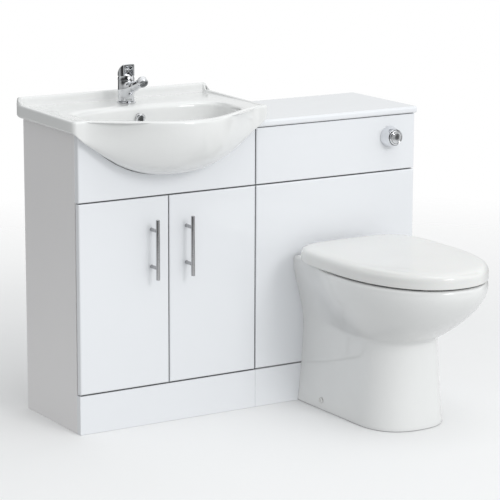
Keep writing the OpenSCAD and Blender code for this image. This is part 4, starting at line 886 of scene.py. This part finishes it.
# the bowl's sections: height, half width, front and back, as shares of the pan's height, width and reach
BOWL_ROWS = [(1, 0.364, 0.931, 0.296), (0.985, 0.364, 0.931, 0.296), (0.95, 0.359, 0.928, 0.300),
             (0.875, 0.348, 0.910, 0.309), (0.80, 0.329, 0.882, 0.317), (0.725, 0.302, 0.825, 0.325),
             (0.655, 0.266, 0.755, 0.328), (0.56, 0.212, 0.656, 0.332), (0.46, 0.158, 0.561, 0.335),
             (0.375, 0.120, 0.497, 0.340), (0.31, 0.098, 0.462, 0.348), (0.295, 0.082, 0.450, 0.356)]


def row_at(s):
    """The bowl's section at row number s, a smooth curve through the rows."""
    k = min(int(s), len(BOWL_ROWS) - 2)
    t = s - k
    p = [BOWL_ROWS[min(max(k + d, 0), len(BOWL_ROWS) - 1)] for d in (-1, 0, 1, 2)]
    return [0.5 * (2 * b + (c - a) * t + (2 * a - 5 * b + 4 * c - d) * t * t
                   + (3 * b - a - 3 * c + d) * t ** 3) for a, b, c, d in zip(*p)]


def bowl_section(row, e=0.0, drop=0.0, z=None):
    """A row's section, e wider all round and lower by drop, or at height z."""
    a, f, b = row[1] * PW + e, row[2] * PO + e, row[3] * PO - e
    c = mix(b, f, 0.47)
    height = row[0] * PH - drop if z is None else z
    return [(a * power(cosd(t), LEVEL), ((f - c) if sind(t) < 0 else (c - b)) * power(sind(t), LEVEL) - c,
             height) for t in TURNS]


def pan():
    rings = [bowl_section(BOWL_ROWS[11], 8, 12)] + [bowl_section(BOWL_ROWS[k], 12) for k in (10, 9, 8)]
    rings += [bowl_section(BOWL_ROWS[8], 15, z=204)]
    rings += [pan_ring(z, e) for z, e in ((204, 19), (196, 14), (110, 14), (30, 14), (0, 14), (0, 2.4),
                                          (0.6, 0.9), (2.2, 0))]
    rings += [pan_ring(z) for z in (12, 30, 55, 80, 105, 130, 155, 180, 195, 206, 214)]
    rings += [pan_ring(z) for z in range(219, 238, 2)]
    rings += [pan_ring(z) for z in (241, 246, 252, 259, 267, *range(276, 377, 10), 385)]
    rings += [pan_ring(z, e) for z, e in ((389.5, 0.15), (393, 0.8), (396, 2.2), (398.2, 4.4), (399.5, 7.2),
                                          (400, 10.5))]
    rings += [bowl_section(BOWL_ROWS[0], e, z=z)
              for e, z in ((12, 400), (7, 399.7), (3.4, 398.6), (1, 396.6))]
    rings += [bowl_section(row_at(1 + 0.35 * k)) for k in range(1, 29)]
    rings += [bowl_section(BOWL_ROWS[11])]
    verts, faces = closed_loft(rings, rings[0][0][2], rings[-1][0][2] - 3)
    o = piece("pan_glazed", verts, faces, "pan", 50)
    (y0, z0), (y1, z1) = WAY_IN, WAY_OUT
    slope = math.degrees(math.atan2(z1 - z0, y1 - y0))
    way = at(PX, y0, z0) @ Matrix.Rotation(math.radians(slope - 90), 4, "X")
    cutters = [lathe(plug_shape(28, -10, 120), way, 48),
               lathe(plug_shape(27, -70, 70), at(PX, 1, FLUSH_Z, -90), 48)]
    for s in (-1, 1):
        cutters.append(lathe(plug_shape(7, PH - 5, PH + 5), at(PX + HINGE_X * s, HINGE_Y, 0), 32))
    cut(o, cutters)
    spigot = soften([(44, 0.5), (44, 60), (51, 60), (51, 0.5), (44, 0.5)], 1.5)
    add_to(o, *lathe(spigot, at(PX, 0, SOIL_Z, -90), 72), 50, 1e-7)


pan()
CAP_Y, CAP_Z = -110, 25
x = pan_back_half(CAP_Z) + 0.7
cap = soften([(0, x - 12), (5.7, x - 12), (5.7, x), (8, x), (8, x + 1.6), (6.4, x + 3.2), (4.6, x + 3.4),
              (4.2, x + 1.6), (3.4, x + 1.2), (0, x + 3.0)], 0.4)
caps = [lathe(cap, at(PX, CAP_Y, CAP_Z, 0, 90 * s), 40) for s in (-1, 1)]
v, f = join_parts(*caps)
piece("floor_screw_caps", v, f, "pan_fixing_caps", 40)


# ---------------------------------------------------------------- seat

LID_HALF, LID_OUT, LID_BACK, LID_MID = 185.0, 568.0, -42.0, -270.0
LID_LOW, LID_TOP, AXIS_Z = 404.0, 444.0, 420.0


EGG_POINTS = 132


def egg(a, yf, yb, yc, z, nf=2.2, nb=4.6):
    """An oval of half width a from yf to yb, widest at yc, with exponents nf in front and nb behind."""
    out = []
    for i in range(EGG_POINTS):
        t = 2 * pi * i / EGG_POINTS
        c = power(cos(t), nf if sin(t) < 0 else nb)
        s = power(sin(t), nf if sin(t) < 0 else nb)
        out.append((a * c, yc + (yc - yf) * s if sin(t) < 0 else yc + (yb - yc) * s, z))
    return out


def lid_ring(e, z):
    """The lid's outline at height z, e inside."""
    return egg(LID_HALF - e, e - LID_OUT, LID_BACK - e, LID_MID, z)


def hinge_ears(inner):
    """Ears on both hinges with their bores: on the post's inner side for the ring, outer for the lid."""
    parts = []
    for s in (-1, 1):
        m = at(PX + HINGE_X * s, HINGE_Y, AXIS_Z, 0, 90 * s)
        a, b = (-18, -9.5) if inner else (9.5, 18)
        parts.append(lathe(soften([(3.55, a), (7.5, a), (7.5, b), (3.55, b), (3.55, a)], 0.6), m, 40))
    return parts


def block(lo, hi):
    """(vertices, faces) of a box between two corners."""
    x0, y0, z0 = lo
    x1, y1, z1 = hi
    v = [(x, y, z) for z in (z0, z1) for y in (y0, y1) for x in (x0, x1)]
    return v, [(0, 2, 3, 1), (4, 5, 7, 6), (0, 1, 5, 4), (2, 6, 7, 3), (0, 4, 6, 2), (1, 3, 7, 5)]


def lid():
    cav = 435.0                       # the underside's height inside the edge
    under = [(70, cav), (30, cav), (16, cav), (10, cav - 0.8), (6.6, cav - 3.4), (5, cav - 8),
             (5, LID_LOW + 1)]
    edge = [(4.6, 0.3), (3.6, 0), (2, 0), (1, 0.3), (0.35, 1), (0.05, 2.5), (0, 5), (0, 9), (0, 13),
            (0.05, 17), (0.35, 20.5), (1, 24), (2.2, 27), (4, 29.8), (6.4, 32.2), (9.6, 34.2), (14, 35.8),
            (20, 37.1), (28, 38), (40, 38.8), (56, 39.3), (76, 39.65), (100, 39.85), (130, 39.97)]
    rings = [lid_ring(e, z) for e, z in under] + [lid_ring(e, LID_LOW + z) for e, z in edge]
    verts, faces = closed_loft(rings, cav, LID_TOP)
    o = piece("lid_shell", verts, faces, "seat_lid", 50)
    cut(o, [block((PX - 123, -74, LID_LOW - 4), (PX + 123, -30, cav - 0.4))])
    parts = hinge_ears(False)
    for s in (-1, 1):
        x0, x1 = sorted((PX + s * 87.5, PX + s * 96))
        parts.append(block((x0, -59.4, AXIS_Z + 3.8), (x1, -44.6, cav + 0.5)))
    add_to(o, *join_parts(*parts), 40)


lid()
RING_LOW, BAND = 405.0, 62.0          # the seat ring's underside and the width of its band
RH, RF, RB = LID_HALF - 9, LID_OUT - 9, -75.0


def seat():
    def outer(e, z):
        return egg(RH - e, e - RF, RB - e, LID_MID, RING_LOW + z)

    def hole(e, z):
        return egg(RH - BAND + e, BAND - RF - e, -185 + e, -320, RING_LOW + z, nb=3.4)
    rings = [hole(6, 0.2), hole(14, 0)]
    rings += [outer(e, z) for e, z in ((20, 0), (7, 0), (4, 0.25), (2, 1.2), (0.7, 3), (0.1, 5.4), (0, 8.5),
                                       (0.15, 11.5), (0.9, 15), (2.4, 18), (5, 20.6), (9, 22.6),
                                       (14, 23.6), (20, 24), (28, 23.9))]
    rings += [hole(e, z) for e, z in ((30, 23.4), (22, 22.6), (15, 21), (10, 19), (6, 16.2), (3, 12.8),
                                      (1, 9), (0.1, 6), (0.3, 3), (2, 1))]
    verts = [(x + PX, y, z) for r in rings for x, y, z in r]
    parts = [(verts, loft_faces(len(rings), EGG_POINTS, loop=True))] + hinge_ears(True)
    for s in (-1, 1):
        x0, x1 = sorted((PX + s * 60, PX + s * 68.5))
        parts.append(block((x0, -82, AXIS_Z - 6.5), (x1, -55, AXIS_Z + 5)))
    v, f = join_parts(*parts)
    piece("seat_ring_shell", v, f, "seat_ring", 40)


seat()
pad = soften([(0, 400.35), (7.5, 400.35), (9, 401.6), (8.6, 405.2), (0, 405.2)], 0.8)
pads = []
for t in (190, 240, 300, 350):
    x = (PW / 2 - 30) * power(cosd(t), LEVEL)
    y = -OPEN_Y + (PO - 21 - OPEN_Y) * power(sind(t), LEVEL)
    pads.append(lathe(pad, at(PX + x, y, 0), 40))
v, f = join_parts(*pads)
piece("seat_pads", v, f, "seat_buffers", 40)


# ---------------------------------------------------------------- stage, light and camera

def studio_floor():
    """A pale floor that fades into the white background away from the unit."""
    s, z = 4.5, -0.0005
    me = bpy.data.meshes.new("studio_floor")
    me.from_pydata([(-s, -s, z), (s, -s, z), (s, s, z), (-s, s, z)], [], [(0, 1, 2, 3)])
    o = bpy.data.objects.new("studio_floor", me)
    bpy.context.scene.collection.objects.link(o)
    m = Nodes("studio_floor")
    m.set("Specular IOR Level", 0.0)
    m.set("Roughness", m.span(m.noise(4, 2), 0.85, 0.95))
    m.set("Base Color", m.speckle((0.94, 0.94, 0.94), (0.95, 0.95, 0.95), 1.3, 2))
    far = m.node("ShaderNodeVectorMath")
    far.operation = "LENGTH"
    m.feed(far.inputs[0], m.co)
    m.set("Alpha", m.span(far.outputs["Value"], 1.0, 0.0, 1.1, 3.2))
    me.materials.append(m.mat)
    o.visible_diffuse = False


def world():
    """Soft light that is stronger from above, in front and the right; plain white to the camera."""
    w = bpy.data.worlds.new("studio")
    bpy.context.scene.world = w
    w.use_nodes = True
    t = w.node_tree
    out = t.nodes["World Output"]
    way = t.nodes.new("ShaderNodeTexCoord").outputs["Generated"]

    def math_node(kind, a, b):
        """a is an output; b is an output or a number."""
        m = t.nodes.new("ShaderNodeMath")
        m.operation = kind
        t.links.new(a, m.inputs[0])
        if isinstance(b, float):
            m.inputs[1].default_value = b
        else:
            t.links.new(b, m.inputs[1])
        return m.outputs[0]

    def along(aim):
        """The part of the ray's direction that goes along aim."""
        dot = t.nodes.new("ShaderNodeVectorMath")
        dot.operation = "DOT_PRODUCT"
        t.links.new(way, dot.inputs[0])
        dot.inputs[1].default_value = aim
        return dot.outputs["Value"]

    def flag(aim, edge, dark):
        """A dark flag round the direction aim: from edge[0] outwards clear, from edge[1] inwards dark."""
        r = t.nodes.new("ShaderNodeMapRange")
        r.interpolation_type = "SMOOTHSTEP"
        t.links.new(along(Vector(aim).normalized()), r.inputs["Value"])
        for key, value in (("From Min", edge[0]), ("From Max", edge[1]), ("To Min", 1.0), ("To Max", dark)):
            r.inputs[key].default_value = value
        return r.outputs[0]

    def sky(base, slope, tint, flags=()):
        """Light of strength base that grows along slope, never below a faint glow, less the flags."""
        level = math_node("MAXIMUM", math_node("ADD", along(slope), base), 0.02)
        bg = t.nodes.new("ShaderNodeBackground")
        bg.inputs[0].default_value = (*tint, 1)
        for aim, edge, dark in flags:
            level = math_node("MULTIPLY", level, flag(aim, edge, dark))
        t.links.new(level, bg.inputs[1])
        return bg.outputs[0]

    def mixed(fac, a, b):
        m = t.nodes.new("ShaderNodeMixShader")
        t.links.new(fac, m.inputs[0])
        t.links.new(a, m.inputs[1])
        t.links.new(b, m.inputs[2])
        return m.outputs[0]

    ray = t.nodes.new("ShaderNodeLightPath")
    white = t.nodes.new("ShaderNodeBackground")
    white.inputs[0].default_value = (1, 1, 1, 1)
    white.inputs[1].default_value = 1.0
    soft = sky(0.68, (0.15, -0.24, 0.12), (0.975, 0.992, 1.0))
    shiny = sky(0.62, (0.25, 0.05, 0.55), (0.99, 1.0, 1.0),
                [((-0.16, 0.98, 0.05), (0.90, 0.965), 0.03), ((0.93, 0.36, -0.05), (0.86, 1.0), 0.35),
                 ((-0.30, 0.60, 0.74), (0.90, 0.96), 0.05), ((0.60, -0.78, -0.05), (0.955, 0.995), 0.25),
                 ((-0.35, -0.90, 0.55), (0.80, 0.92), 0.04), ((0.75, -0.10, 0.65), (0.93, 0.97), 0.06),
                 ((0.50, -0.84, -0.20), (0.80, 0.99), 0.72), ((-0.90, -0.30, 0.0), (0.70, 0.95), 0.15)])
    t.nodes.remove(t.nodes["Background"])
    light = mixed(ray.outputs["Is Glossy Ray"], soft, shiny)
    t.links.new(mixed(ray.outputs["Is Camera Ray"], light, white.outputs[0]), out.inputs[0])


def lamp(name, loc, target, size, watts):
    """A square soft lamp of the given side in metres, turned to its target."""
    d = bpy.data.lights.new(name, "AREA")
    d.shape = "RECTANGLE"
    d.size = d.size_y = size
    d.energy = watts
    o = bpy.data.objects.new(name, d)
    o.location = loc
    o.rotation_euler = (Vector(target) - Vector(loc)).to_track_quat("-Z", "Y").to_euler()
    bpy.context.scene.collection.objects.link(o)


studio_floor()
world()
lamp("key", (1.0, -6.2, 3.8), (0.1, 0, 0.5), 2.0, 108)
lamp("top", (0.2, -1.2, 5.0), (0, 0, 0.4), 2.4, 22)

# the camera fitted to the photograph: focal length and middle in pixels of a square picture
SENSOR, SIDE, FOCAL, MIDDLE = 36, 500, 2294.6, (212.6, 254.0)
cam = bpy.data.cameras.new("camera")
cam.sensor_width = SENSOR
cam.lens = FOCAL * SENSOR / SIDE
cam.shift_x = (SIDE / 2 - MIDDLE[0]) / SIDE
cam.shift_y = -(SIDE / 2 - MIDDLE[1]) / SIDE
cam.clip_end = 60
co = bpy.data.objects.new("camera", cam)
co.location = (-3.0764, -4.8447, 1.6755)
yaw, pitch = 0.537, 0.212
look = Vector((sin(yaw) * cos(pitch), cos(yaw) * cos(pitch), -sin(pitch)))
co.rotation_euler = look.to_track_quat("-Z", "Y").to_euler()
bpy.context.scene.collection.objects.link(co)
bpy.context.scene.camera = co
bpy.context.scene.view_settings.view_transform = "Standard"
